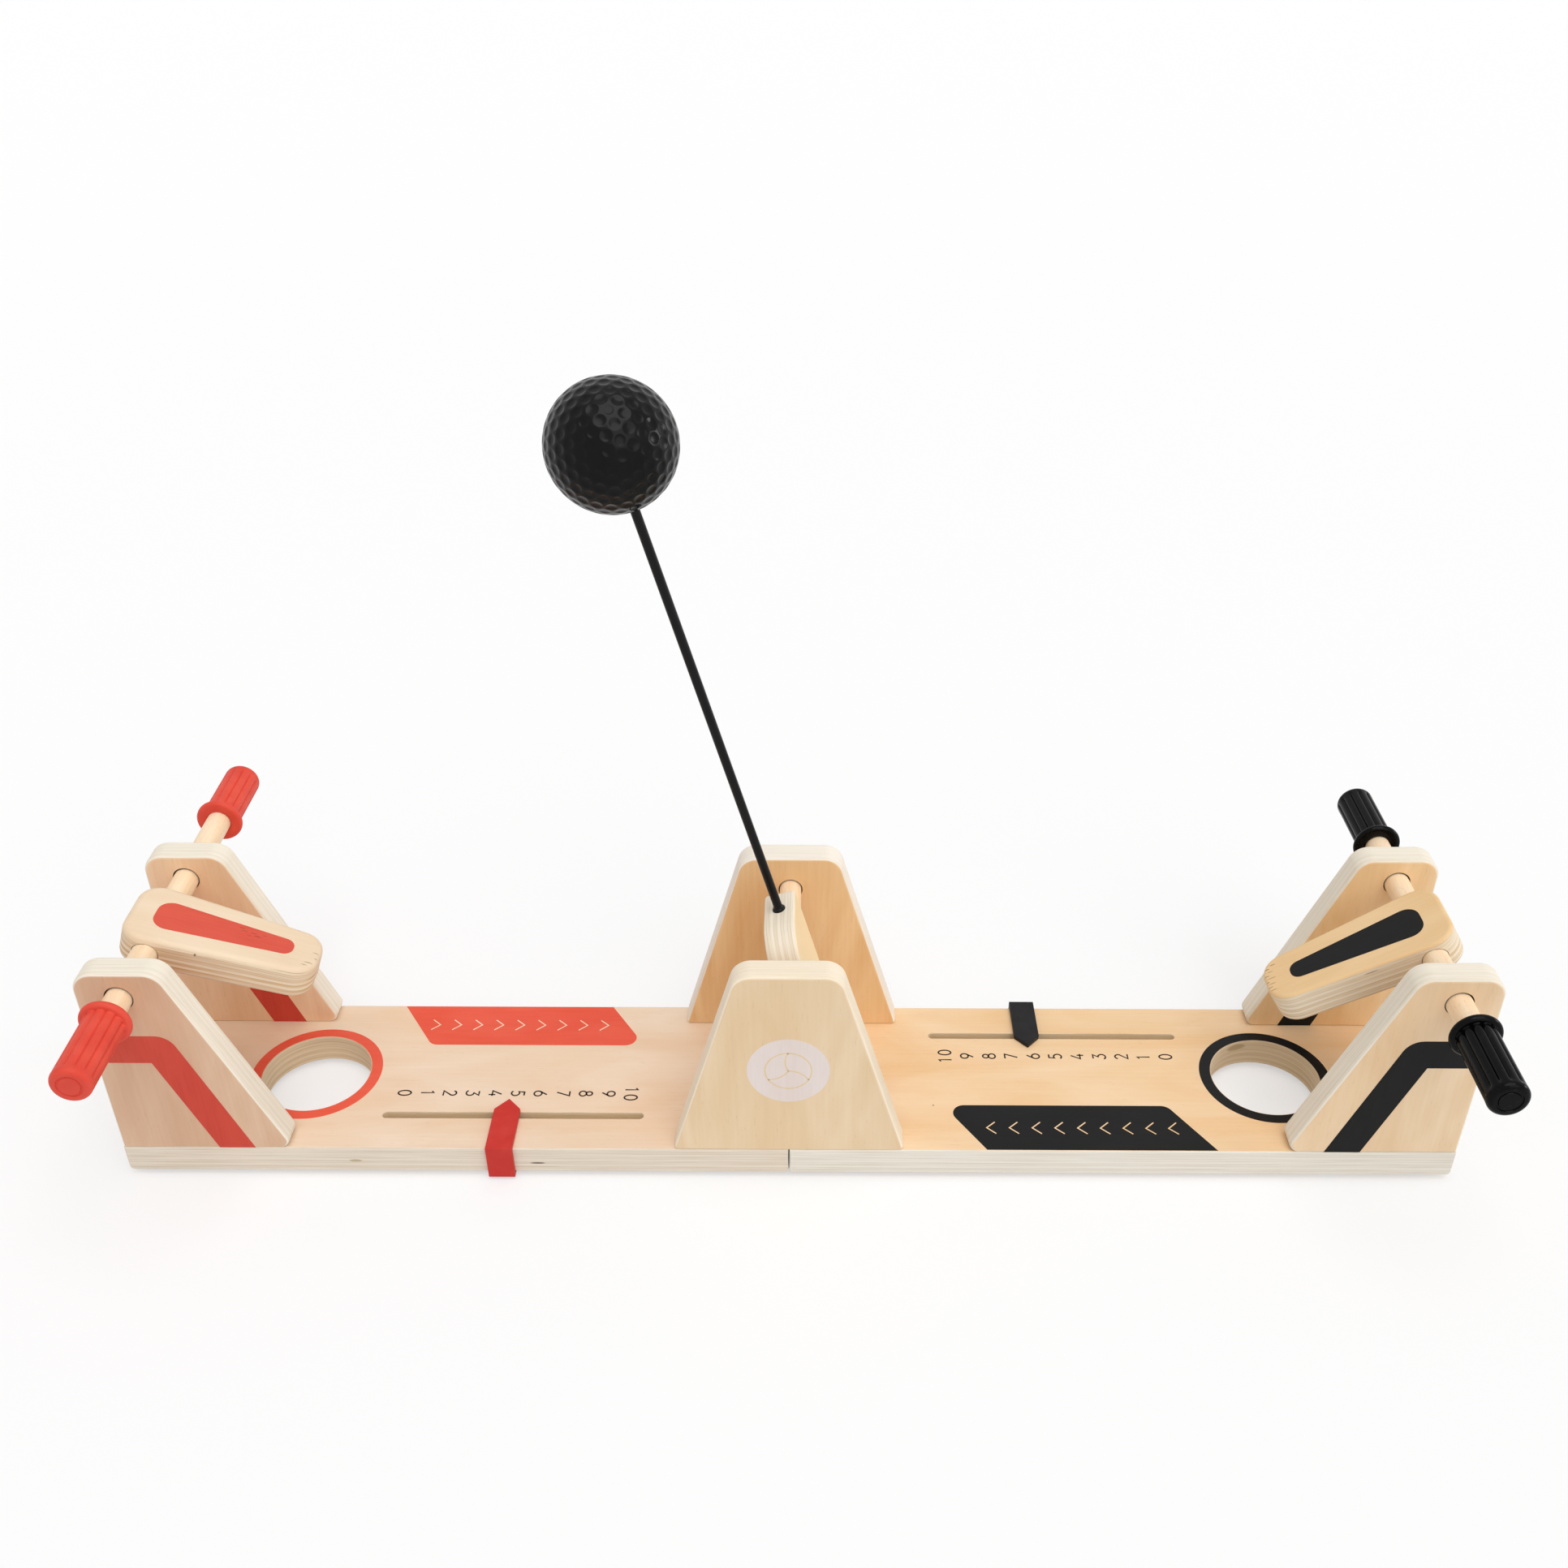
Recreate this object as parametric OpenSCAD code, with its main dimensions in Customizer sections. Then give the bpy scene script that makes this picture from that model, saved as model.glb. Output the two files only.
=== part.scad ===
// Tabletop volleyball game: a ball on a rod swings over a plywood court between two towers,
// and a paddle on a sliding, turning handle stands at each end over its goal hole.
// X runs along the court, Y from the front edge to the rear edge, Z up from the table.

/* [Base] */
// Length of the whole court, both halves together
base_len = 508; // [470:2:560]
// Width of the court
base_w = 83; // [76:1:96]
// Thickness of the base plywood
base_t = 12; // [10:0.5:16]
// Rounding of the lower end edges of each half
base_ease = 2.5; // [0.5:0.25:4]
// Diameter of the dowels that line the two halves up
seam_dowel_d = 6; // [4:0.5:7]
// Length of those dowels
seam_dowel_len = 30; // [20:1:44]
// Distance of those dowels from the middle of the court
seam_dowel_y = 14; // [8:1:20]

/* [Goals] */
// Distance of each goal hole from the middle of the court
goal_x = 191; // [180:0.5:200]
// Diameter of the goal holes
goal_d = 43; // [38:0.5:48]

/* [Towers] */
// Width of a tower at its foot
tower_foot_w = 88; // [76:1:100]
// Width of a tower at its top
tower_top_w = 38; // [32:1:50]
// Height of a tower above the base
tower_h = 84.5; // [80:0.5:100]
// Thickness of the tower plywood
tower_t = 10.5; // [9:0.5:14]
// Rounding of a tower's top corners
tower_corner_r = 8; // [2:0.5:12]
// Rounding of a tower's lower corners
tower_foot_r = 1.5; // [0.5:0.25:3]

/* [Pivot] */
// Distance of the pivot below the top of the towers
pivot_drop = 14.9; // [11:0.1:20]
// Diameter of the pivot dowel
axle_d = 8.5; // [6:0.25:10]
// Depth of the pivot's blind socket in each tower
axle_socket = 7; // [5:0.5:8]

/* [Swing arm] */
// Distance from the pivot to the middle of the ball
arm_len = 201.3; // [194:0.1:208]
// Lean of the arm towards the left player
arm_lean = 15.7; // [0:0.1:40]
// Thickness of the swing block
block_t = 12; // [10:0.5:14]
// Reach of the swing block above the pivot
block_rise = 14.3; // [12:0.1:18]
// Reach of the swing block below the pivot
block_drop = 40; // [30:1:54]
// Reach of the swing block in front of the rod
block_front = 24; // [20:0.5:26]
// Reach of the swing block behind the rod
block_rear = 11; // [9:0.5:14]
// Rounding of the swing block's top front corner
block_front_r = 16; // [8:0.5:18]
// Rounding of the swing block's other corners
block_corner_r = 2; // [1:0.5:5]
// Diameter of the rod
rod_d = 3.3; // [2.5:0.1:4.5]
// Depth that the rod is let into the swing block
rod_seat = 8; // [4:0.25:9]
// Depth that the rod is let into the ball
ball_seat = 15; // [8:0.5:20]
// Diameter of the ball
ball_d = 42.7; // [38:0.1:46]

/* [Brackets] */
// Width of an end bracket at its foot
bracket_foot_w = 65.5; // [54:0.5:72]
// Width of an end bracket at its top
bracket_top_w = 31; // [28:0.5:40]
// Height of an end bracket above the base
bracket_h = 84.5; // [82:0.5:96]
// Thickness of the bracket plywood
bracket_t = 10.5; // [9:0.5:14]
// Rounding of a bracket's top corners
bracket_corner_r = 8; // [2:0.5:12]
// Rounding of a bracket's toe, where its slope meets the base
bracket_toe_r = 3.5; // [0.5:0.25:5]

/* [Handles] */
// Distance of the handle dowels below the top of the brackets
handle_drop = 11; // [9:0.5:13]
// Distance of the handle dowels from the ends of the base
handle_inset = 15.8; // [13:0.2:18]
// Diameter of a handle dowel
handle_d = 9.5; // [8:0.25:12]
// Length of a handle dowel
handle_len = 156; // [150:1:172]
// Depth that the left dowel reaches into each of its grips
left_grip_seat = 16; // [12:0.5:20]
// Depth that the right dowel reaches into each of its grips
right_grip_seat = 21.5; // [12:0.5:22]
// Offset of the left handle towards the rear, where it was last pushed
left_handle_y = 9.5; // [0:0.5:10]

/* [Grips] */
// Length of a grip
grip_len = 34; // [32:0.5:40]
// Diameter of a grip over its ribs
grip_d = 14.6; // [13.8:0.1:17]
// Diameter of a grip's flange
flange_d = 18.6; // [17.5:0.1:22]
// Thickness of a grip's flange
flange_t = 2.6; // [1.5:0.1:4]
// Depth of the socket that takes the dowel
grip_socket = 27; // [23:0.5:29]
// Rounding of a grip's outer end
grip_end_r = 2; // [0.5:0.25:3]
// Number of ribs around a grip
rib_count = 12; // [8:1:14]
// Depth of the grooves between the ribs
groove_depth = 0.7; // [0.3:0.05:1]
// Radius of the cutter that makes the grooves
groove_r = 1.3; // [1:0.05:1.4]

/* [Paddles] */
// Thickness of a paddle
paddle_t = 14; // [13:0.25:18]
// Reach of a paddle behind its dowel
paddle_heel = 11; // [9:0.5:16]
// Reach of a paddle in front of its dowel
paddle_reach = 60; // [50:0.5:64]
// Width of a paddle at its heel
paddle_heel_w = 34; // [28:0.5:40]
// Width of a paddle at its tip
paddle_tip_w = 23; // [20:0.5:30]
// Rounding of a paddle's corners
paddle_corner_r = 9; // [3:0.5:9.5]
// Downward slope of the left paddle
left_slope = 19.3; // [0:0.1:60]
// Downward slope of the right paddle
right_slope = 31; // [0:0.1:60]

/* [Score slots] */
// Distance from the middle of the court to the middle of a score slot
slot_x = 108; // [100:0.5:114]
// Length of a score slot
slot_len = 102; // [90:1:110]
// Width of a score slot
slot_w = 3.2; // [2.8:0.1:3.8]
// Depth of a score slot
slot_depth = 5; // [3:0.5:7]
// Distance from the edge of the base to the middle of a score slot
slot_inset = 17.8; // [14:0.2:22]

/* [Score markers] */
// Place of the left marker along the court
left_marker_x = -110.4; // [-140:0.1:-80]
// Place of the right marker along the court
right_marker_x = 97.4; // [80:0.1:140]
// Width of a marker
marker_w = 10.2; // [8:0.1:12]
// Thickness of a marker's top plate
marker_t = 1.8; // [1.2:0.1:2.4]
// Thickness of the wall that passes down in front of the base
marker_wall = 1.8; // [1.2:0.1:2.4]
// Thickness of the lip under the base
marker_lip_t = 1.2; // [0.8:0.1:1.8]
// Reach of that lip under the base
marker_lip = 6; // [3:0.5:9]
// Reach of the marker from the edge of the base to its point
marker_reach = 25.2; // [23.5:0.1:32]
// Length of the marker's point
marker_point = 5.6; // [3:0.1:7]
// Length of the key that rides in the slot
key_len = 7; // [4:0.5:10]
// Reach of that key into the slot
key_depth = 3; // [1.5:0.25:4]

/* [Fasteners] */
// Shank diameter of the wood screws
screw_d = 3.8; // [3:0.1:4.5]
// Head diameter of the wood screws
screw_head_d = 7.6; // [6:0.1:8.5]
// Length of the wood screws
screw_len = 34; // [28:1:40]
// Distance of the tower screws from the seam
tower_screw_x = 26; // [16:1:32]
// Distance of the outer bracket screws from the ends of the base
outer_screw_inset = 12; // [9:0.5:16]
// Distance between the two screws of a bracket
bracket_screw_gap = 34; // [24:1:38]

/* [Feet] */
// Thickness of the rubber feet
foot_t = 2.5; // [2.2:0.1:4]
// Diameter of the round feet
foot_d = 14; // [8:0.5:18]
// Distance of the round feet from the ends of the base
foot_inset = 14; // [11:0.5:20]
// Distance of the round feet from the middle of the court
foot_y = 22; // [12:0.5:24]
// Width of the strip across the seam
strip_w = 24; // [14:1:34]
// Length of that strip across the court
strip_len = 56; // [30:1:62]

/* [Fits] */
// Radial clearance of a dowel that turns or slides in its hole
run_gap = 0.05; // [0.02:0.01:0.1]
// Radial clearance of what is glued, screwed or pressed in place
seat_gap = 0.02; // [0.01:0.01:0.05]
// Clearance of a marker on the base and in its slot
slide_gap = 0.12; // [0.08:0.02:0.3]
// End play of the pivot dowel in each socket
axle_play = 0.3; // [0.1:0.05:0.6]

/* [Hidden] */
$fn = 64;
// Straight pieces in each rounded corner of a plywood outline
corner_steps = 10;
// Small overlap that makes a cut break cleanly through a face
cut = 0.5;
top_z = foot_t + base_t;
half_w = base_w / 2;
half_len = base_len / 2;
tower_gap = base_w - 2 * tower_t;
pivot_z = top_z + tower_h - pivot_drop;
handle_z = top_z + bracket_h - handle_drop;
left_grip_gap = handle_len - 2 * left_grip_seat;
right_grip_gap = handle_len - 2 * right_grip_seat;
handle_x = half_len - handle_inset;
screw_cone = (screw_head_d - screw_d) / 2;
screw_point = screw_d;
screw_tip_d = 0.4;
// Cross recess in a screw head, which keeps this wall inside the shank's diameter
recess_wall = 0.4;
recess_len = screw_d - 2 * recess_wall;
recess_w = 0.9;
recess_depth = 1.4;
tower_screw_y = half_w - tower_t / 2;
bracket_screw_y = half_w - bracket_t / 2;
outer_screw_x = half_len - outer_screw_inset;
inner_screw_x = outer_screw_x - bracket_screw_gap;

birch = "#EBD5B3";
pale_birch = "#EFDABF";
beech = "#E8C799";
red_rubber = "#D84A3C";
black_rubber = "#1A1A1A";
red_plastic = "#C93A32";
black_plastic = "#303030";
steel = "#B9BCC0";

function unit(v) = v / norm(v);

// The points of an outline with corner i rounded to radii[i]
function rounded(points, radii) = [
    for (i = [0 : len(points) - 1])
        let (
            here = points[i],
            back = unit(points[(i + len(points) - 1) % len(points)] - here),
            ahead = unit(points[(i + 1) % len(points)] - here),
            half = acos(back * ahead) / 2,
            centre = here + unit(back + ahead) * radii[i] / sin(half),
            start = here + back * radii[i] / tan(half) - centre,
            turn = sign(ahead.x * back.y - ahead.y * back.x) * (180 - 2 * half)
        )
        each radii[i] > 0
            ? [
                for (k = [0 : corner_steps])
                    let (a = turn * k / corner_steps)
                    centre + [start.x * cos(a) - start.y * sin(a), start.x * sin(a) + start.y * cos(a)]
            ]
            : [here]
];

// A sheet of plywood standing up in the XZ plane, its thickness centred on y
module standing_sheet(points, radii, thick, y) {
    translate([0, y + thick / 2, 0])
        rotate([90, 0, 0])
            linear_extrude(thick)
                polygon(rounded(points, radii));
}

// A round bar or hole along Y, between two places
module bar_y(d, from, to) {
    translate([0, from, 0])
        rotate([-90, 0, 0])
            cylinder(h = to - from, d = d);
}

// A countersunk wood screw that points up, with the top of its head at the origin
module wood_screw() {
    difference() {
        union() {
            cylinder(h = screw_cone, d1 = screw_head_d, d2 = screw_d);
            cylinder(h = screw_len - screw_point, d = screw_d);
            translate([0, 0, screw_len - screw_point])
                cylinder(h = screw_point, d1 = screw_d, d2 = screw_tip_d);
        }
        for (a = [0, 90])
            rotate([0, 0, a])
                translate([-recess_len / 2, -recess_w / 2, -cut])
                    cube([recess_len, recess_w, recess_depth + cut]);
    }
}

// The hole that such a screw leaves in the wood
module screw_hole() {
    cylinder(h = screw_cone, d1 = screw_head_d + 2 * seat_gap, d2 = screw_d + 2 * seat_gap);
    translate([0, 0, -cut])
        cylinder(h = cut, d = screw_head_d + 2 * seat_gap);
    cylinder(h = screw_len + seat_gap, d = screw_d + 2 * seat_gap);
}

// Puts its child at each screw of both towers
module at_tower_screws() {
    for (x = [-tower_screw_x, tower_screw_x], y = [-tower_screw_y, tower_screw_y])
        translate([x, y, foot_t])
            children();
}

// Puts its child at each screw of the four brackets
module at_bracket_screws() {
    for (side = [-1, 1], x = [outer_screw_x, inner_screw_x], y = [-bracket_screw_y, bracket_screw_y])
        translate([side * x, y, foot_t])
            children();
}

// Puts its child at each dowel across the seam
module at_seam_dowels() {
    for (y = [-seam_dowel_y, seam_dowel_y])
        translate([0, y, foot_t + base_t / 2])
            rotate([0, 90, 0])
                children();
}

// The half of the base on the left, with its goal, its score slot and the holes for what joins it
module base_half() {
    difference() {
        standing_sheet(
            [[-half_len, foot_t], [-half_len, top_z], [0, top_z], [0, foot_t]],
            [base_ease, 0, 0, base_ease], base_w, 0
        );
        translate([-goal_x, 0, foot_t - cut])
            cylinder(h = base_t + 2 * cut, d = goal_d);
        translate([-slot_x, slot_inset - half_w, top_z - slot_depth]) {
            translate([-(slot_len - slot_w) / 2, -slot_w / 2, 0])
                cube([slot_len - slot_w, slot_w, slot_depth + cut]);
            for (end = [-1, 1])
                translate([end * (slot_len - slot_w) / 2, 0, 0])
                    cylinder(h = slot_depth + cut, d = slot_w);
        }
        at_seam_dowels()
            cylinder(h = seam_dowel_len + 2 * seat_gap, d = seam_dowel_d + 2 * seat_gap, center = true);
        at_tower_screws()
            screw_hole();
        at_bracket_screws()
            screw_hole();
    }
}

module base_left() {
    color(pale_birch)
        base_half();
}

module base_right() {
    color(beech)
        rotate([0, 0, 180])
            base_half();
}

module seam_dowels() {
    color(beech)
        at_seam_dowels()
            cylinder(h = seam_dowel_len, d = seam_dowel_d, center = true);
}

// A tower on the front edge (face -1) or the rear edge (face 1)
module tower(face) {
    difference() {
        standing_sheet(
            [
                [-tower_foot_w / 2, top_z], [-tower_top_w / 2, top_z + tower_h],
                [tower_top_w / 2, top_z + tower_h], [tower_foot_w / 2, top_z],
            ],
            [tower_foot_r, tower_corner_r, tower_corner_r, tower_foot_r],
            tower_t, face * (half_w - tower_t / 2)
        );
        translate([0, 0, pivot_z])
            bar_y(axle_d + 2 * run_gap, -tower_gap / 2 - axle_socket, tower_gap / 2 + axle_socket);
        at_tower_screws()
            screw_hole();
    }
}

module tower_front() {
    color(birch)
        tower(-1);
}

module tower_rear() {
    color(birch)
        tower(1);
}

module tower_screws() {
    color(steel)
        at_tower_screws()
            wood_screw();
}

// A bracket at the left end (side -1) or the right end (side 1), on the front or rear edge
module bracket(side, face) {
    difference() {
        standing_sheet(
            [
                [side * half_len, top_z], [side * half_len, top_z + bracket_h],
                [side * (half_len - bracket_top_w), top_z + bracket_h],
                [side * (half_len - bracket_foot_w), top_z],
            ],
            [0, bracket_corner_r, bracket_corner_r, bracket_toe_r],
            bracket_t, face * (half_w - bracket_t / 2)
        );
        translate([side * handle_x, 0, handle_z])
            bar_y(handle_d + 2 * run_gap, -half_w - cut, half_w + cut);
        at_bracket_screws()
            screw_hole();
    }
}

module bracket_left_front() {
    color(birch)
        bracket(-1, -1);
}

module bracket_left_rear() {
    color(birch)
        bracket(-1, 1);
}

module bracket_right_front() {
    color(birch)
        bracket(1, -1);
}

module bracket_right_rear() {
    color(birch)
        bracket(1, 1);
}

module bracket_screws() {
    color(steel)
        at_bracket_screws()
            wood_screw();
}

// A strip across the seam and a round foot near each corner
module rubber_feet() {
    color(black_rubber) {
        translate([-strip_w / 2, -strip_len / 2, 0])
            cube([strip_w, strip_len, foot_t]);
        for (side = [-1, 1], y = [-foot_y, foot_y])
            translate([side * (half_len - foot_inset), y, 0])
                cylinder(h = foot_t, d = foot_d);
    }
}

// Leans its child over with the arm, whose pivot is the child's own origin
module on_arm() {
    translate([0, 0, pivot_z])
        rotate([0, -arm_lean, 0])
            children();
}

module pivot_axle() {
    color(beech)
        on_arm()
            bar_y(
                axle_d,
                -tower_gap / 2 - axle_socket + axle_play,
                tower_gap / 2 + axle_socket - axle_play
            );
}

// A plate across the court that carries the rod in its top edge, with a wide round front corner
module swing_block() {
    color(pale_birch)
        on_arm()
            difference() {
                translate([-block_t / 2, 0, 0])
                    rotate([90, 0, 90])
                        linear_extrude(block_t)
                            polygon(rounded(
                                [
                                    [-block_front, -block_drop], [-block_front, block_rise],
                                    [block_rear, block_rise], [block_rear, -block_drop],
                                ],
                                [block_corner_r, block_front_r, block_corner_r, block_corner_r]
                            ));
                bar_y(axle_d + 2 * seat_gap, -block_front - cut, block_rear + cut);
                translate([0, 0, block_rise - rod_seat])
                    cylinder(h = rod_seat + cut, d = rod_d + 2 * seat_gap);
            }
}

module ball_rod() {
    color(black_plastic)
        on_arm()
            translate([0, 0, block_rise - rod_seat])
                cylinder(h = arm_len - ball_d / 2 + ball_seat - (block_rise - rod_seat), d = rod_d);
}

module ball() {
    color(black_rubber)
        on_arm()
            difference() {
                translate([0, 0, arm_len])
                    sphere(d = ball_d);
                translate([0, 0, arm_len - ball_d])
                    cylinder(h = ball_d / 2 + ball_seat + seat_gap, d = rod_d + 2 * seat_gap);
            }
}

// Puts its child at a handle, with the dowel's middle as the child's own origin
module at_handle(side) {
    translate([side * handle_x, side < 0 ? left_handle_y : 0, handle_z])
        children();
}

module handle_dowel(side) {
    at_handle(side)
        bar_y(handle_d, -handle_len / 2, handle_len / 2);
}

module left_dowel() {
    color(beech)
        handle_dowel(-1);
}

module right_dowel() {
    color(beech)
        handle_dowel(1);
}

// A tapered paddle that points to the middle of the court and slopes down by the angle given
module paddle(side, slope) {
    translate([side * handle_x, 0, handle_z])
        rotate([0, -side * slope, 0])
            difference() {
                translate([0, 0, -paddle_t / 2])
                    linear_extrude(paddle_t)
                        polygon(rounded(
                            [
                                [side * paddle_heel, -paddle_heel_w / 2],
                                [-side * paddle_reach, -paddle_tip_w / 2],
                                [-side * paddle_reach, paddle_tip_w / 2],
                                [side * paddle_heel, paddle_heel_w / 2],
                            ],
                            [paddle_corner_r, paddle_corner_r, paddle_corner_r, paddle_corner_r]
                        ));
                bar_y(handle_d + 2 * run_gap, -paddle_heel_w, paddle_heel_w);
            }
}

module left_paddle() {
    color(pale_birch)
        paddle(-1, left_slope);
}

module right_paddle() {
    color(beech)
        paddle(1, right_slope);
}

// A ribbed sleeve with a flange at its inner end, which starts at the origin and runs along Z
module grip() {
    difference() {
        rotate_extrude()
            difference() {
                square([grip_d / 2, grip_len]);
                translate([grip_d / 2 - grip_end_r, grip_len - grip_end_r])
                    difference() {
                        square(grip_end_r + cut);
                        circle(grip_end_r);
                    }
            }
        for (i = [0 : rib_count - 1])
            rotate([0, 0, 360 * (i + 0.5) / rib_count])
                translate([grip_d / 2 - groove_depth + groove_r, 0, flange_t])
                    cylinder(h = grip_len - flange_t - 2 * grip_end_r, r = groove_r);
        translate([0, 0, -cut])
            cylinder(h = grip_socket + cut, d = handle_d + 2 * run_gap);
    }
    difference() {
        rotate_extrude() {
            square([flange_d / 2 - flange_t / 2, flange_t]);
            translate([flange_d / 2 - flange_t / 2, flange_t / 2])
                circle(flange_t / 2);
        }
        translate([0, 0, -cut])
            cylinder(h = flange_t + 2 * cut, d = handle_d + 2 * run_gap);
    }
}

// A grip on the front end (face -1) or rear end (face 1) of a handle, turned with its paddle
module handle_grip(side, face, gap, slope) {
    at_handle(side)
        rotate([0, -side * slope, 0])
            translate([0, face * gap / 2, 0])
                rotate([-face * 90, 0, 0])
                    grip();
}

module left_grip_front() {
    color(red_rubber)
        handle_grip(-1, -1, left_grip_gap, left_slope);
}

module left_grip_rear() {
    color(red_rubber)
        handle_grip(-1, 1, left_grip_gap, left_slope);
}

module right_grip_front() {
    color(black_rubber)
        handle_grip(1, -1, right_grip_gap, right_slope);
}

module right_grip_rear() {
    color(black_rubber)
        handle_grip(1, 1, right_grip_gap, right_slope);
}

// A pointed clip over the front edge of the base, in the middle of its own width
module marker() {
    under_z = foot_t - slide_gap;
    over_z = top_z + slide_gap;
    wall_y = -half_w - slide_gap - marker_wall;
    point_y = marker_reach - half_w;
    translate([0, 0, over_z])
        linear_extrude(marker_t)
            polygon([
                [-marker_w / 2, wall_y], [-marker_w / 2, point_y - marker_point],
                [0, point_y], [marker_w / 2, point_y - marker_point], [marker_w / 2, wall_y],
            ]);
    translate([-marker_w / 2, wall_y, under_z - marker_lip_t])
        cube([marker_w, marker_wall, over_z - under_z + marker_lip_t]);
    translate([-marker_w / 2, wall_y, under_z - marker_lip_t])
        cube([marker_w, marker_wall + slide_gap + marker_lip, marker_lip_t]);
    translate([-key_len / 2, slot_inset - half_w - slot_w / 2 + slide_gap, top_z - key_depth])
        cube([key_len, slot_w - 2 * slide_gap, key_depth + slide_gap]);
}

module left_marker() {
    color(red_plastic)
        translate([left_marker_x, 0, 0])
            marker();
}

module right_marker() {
    color(black_plastic)
        translate([right_marker_x, 0, 0])
            rotate([0, 0, 180])
                marker();
}

base_left();
base_right();
seam_dowels();
tower_front();
tower_rear();
tower_screws();
bracket_left_front();
bracket_left_rear();
bracket_right_front();
bracket_right_rear();
bracket_screws();
rubber_feet();
pivot_axle();
swing_block();
ball_rod();
ball();
left_dowel();
left_paddle();
left_grip_front();
left_grip_rear();
right_dowel();
right_paddle();
right_grip_front();
right_grip_rear();
left_marker();
right_marker();
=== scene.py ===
"""Tabletop volleyball game: a dimpled ball on a rod swings over a birch plywood court between a red
player's paddle and a black player's paddle. The sections follow the game as it is put together."""
import itertools
import math

import bmesh
import bpy
import numpy as np
from mathutils import Matrix, Vector


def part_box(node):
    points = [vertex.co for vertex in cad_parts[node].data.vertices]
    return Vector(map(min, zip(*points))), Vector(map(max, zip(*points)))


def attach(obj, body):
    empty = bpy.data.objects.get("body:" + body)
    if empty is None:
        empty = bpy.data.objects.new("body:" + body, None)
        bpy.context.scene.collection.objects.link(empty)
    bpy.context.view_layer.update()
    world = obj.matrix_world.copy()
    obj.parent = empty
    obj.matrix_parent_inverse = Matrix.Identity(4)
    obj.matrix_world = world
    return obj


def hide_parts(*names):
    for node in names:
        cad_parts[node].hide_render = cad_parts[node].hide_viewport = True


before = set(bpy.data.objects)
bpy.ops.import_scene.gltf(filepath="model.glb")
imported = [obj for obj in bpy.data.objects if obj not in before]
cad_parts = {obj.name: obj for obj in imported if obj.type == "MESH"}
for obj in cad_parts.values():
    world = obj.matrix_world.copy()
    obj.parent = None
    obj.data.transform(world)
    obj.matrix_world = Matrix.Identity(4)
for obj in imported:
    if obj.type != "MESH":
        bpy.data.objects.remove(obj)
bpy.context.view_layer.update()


# The court: two half boards of 12 mm birch plywood that meet at a seam in the middle.
# Each is sawn square, drilled for its goal, routed for its score slot, sanded along its edges,
# then lacquered clear and matt. The left board is pinkish, the right one a warmer yellow.
MM = 0.001
COURT_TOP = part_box("base_left")[1].z
COURT_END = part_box("base_right")[1].x
COURT_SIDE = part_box("base_right")[1].y
COURT_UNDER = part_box("base_left")[0].z
COURT_EASE = 0.5 * MM
END_ROUND = 2.5 * MM
SEAM_GAP = 0.16 * MM
SLOT_DEPTH = 5 * MM
SINK_DEPTH = 1.92 * MM
SMALLEST_HOLE = 2.5 * MM
FLAT_STRIP = 0.06 * MM
MARK_DEPTH = 1000


def rgb(code):
    """A hex colour as Blender's linear colour."""
    parts = [int(code[i:i + 2], 16) / 255 for i in (1, 3, 5)]
    linear = [c / 12.92 if c <= 0.04045 else ((c + 0.055) / 1.055) ** 2.4 for c in parts]
    return (*linear, 1.0)


def feed(tree, socket, value):
    """Gives a socket a number or a hex colour, or links it to an output. A node stands for its
    first output in use."""
    if isinstance(value, bpy.types.Node):
        value = next(output for output in value.outputs if output.enabled)
    if isinstance(value, bpy.types.NodeSocket):
        tree.links.new(value, socket)
    else:
        socket.default_value = rgb(value) if isinstance(value, str) else value


def add(tree, kind, values=(), **settings):
    """Adds one node with its settings. The values go to its sockets in use in order, or by name."""
    node = tree.nodes.new(kind)
    for name, setting in settings.items():
        setattr(node, name, setting)
    sockets = node.inputs
    if not isinstance(values, dict):
        sockets = [socket for socket in node.inputs if socket.enabled]
        values = dict(enumerate(values))
    for key, value in values.items():
        feed(tree, sockets[key], value)
    return node


def new_material(name, roughness, **constants):
    """An empty material and its shader, whose constants go straight on the shader's sockets."""
    material = bpy.data.materials.new(name)
    material.use_nodes = True
    shader = material.node_tree.nodes["Principled BSDF"]
    shader.inputs["Roughness"].default_value = roughness
    for socket, value in constants.items():
        shader.inputs[socket.replace("_", " ")].default_value = value
    return material, material.node_tree, shader


def finished(material, tree, shader, colour, height, depth, strength):
    """Feeds the shader its colour and its fine relief."""
    relief = add(tree, "ShaderNodeBump",
                 {"Height": height, "Strength": strength, "Distance": depth})
    feed(tree, shader.inputs["Base Color"], colour)
    feed(tree, shader.inputs["Normal"], relief)
    return material


def own_axes(tree, place, scale):
    """Object coordinates turned to lie along the grain, across it and through the board."""
    where = add(tree, "ShaderNodeTexCoord").outputs["Object"]
    return add(tree, "ShaderNodeMapping", (where, place["centre"], place["turn"], scale),
               vector_type="TEXTURE")


def grain(tree, place, size_mm, detail=2.0, band=None, distortion=0.0):
    """Noise whose spots have this size along the grain, across it and through the wood. A band of
    its values may be stretched to all or to part of zero to one."""
    noise = add(tree, "ShaderNodeTexNoise", {
        "Vector": own_axes(tree, place, [s * MM for s in size_mm]), "Scale": 1.0,
        "Detail": detail, "Distortion": distortion,
    })
    return add(tree, "ShaderNodeMapRange", (noise, *band)) if band else noise


def mark_reach(tree, place, spot_mm, size_mm):
    """The way out from the middle of a mark in the wood: one is its rim."""
    middle = place["centre"] + place["turn"].to_matrix() @ (Vector(spot_mm) * MM)
    near = own_axes(tree, {"centre": middle, "turn": place["turn"]}, [s * MM for s in size_mm])
    return add(tree, "ShaderNodeVectorMath", (near,), operation="LENGTH")


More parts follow.
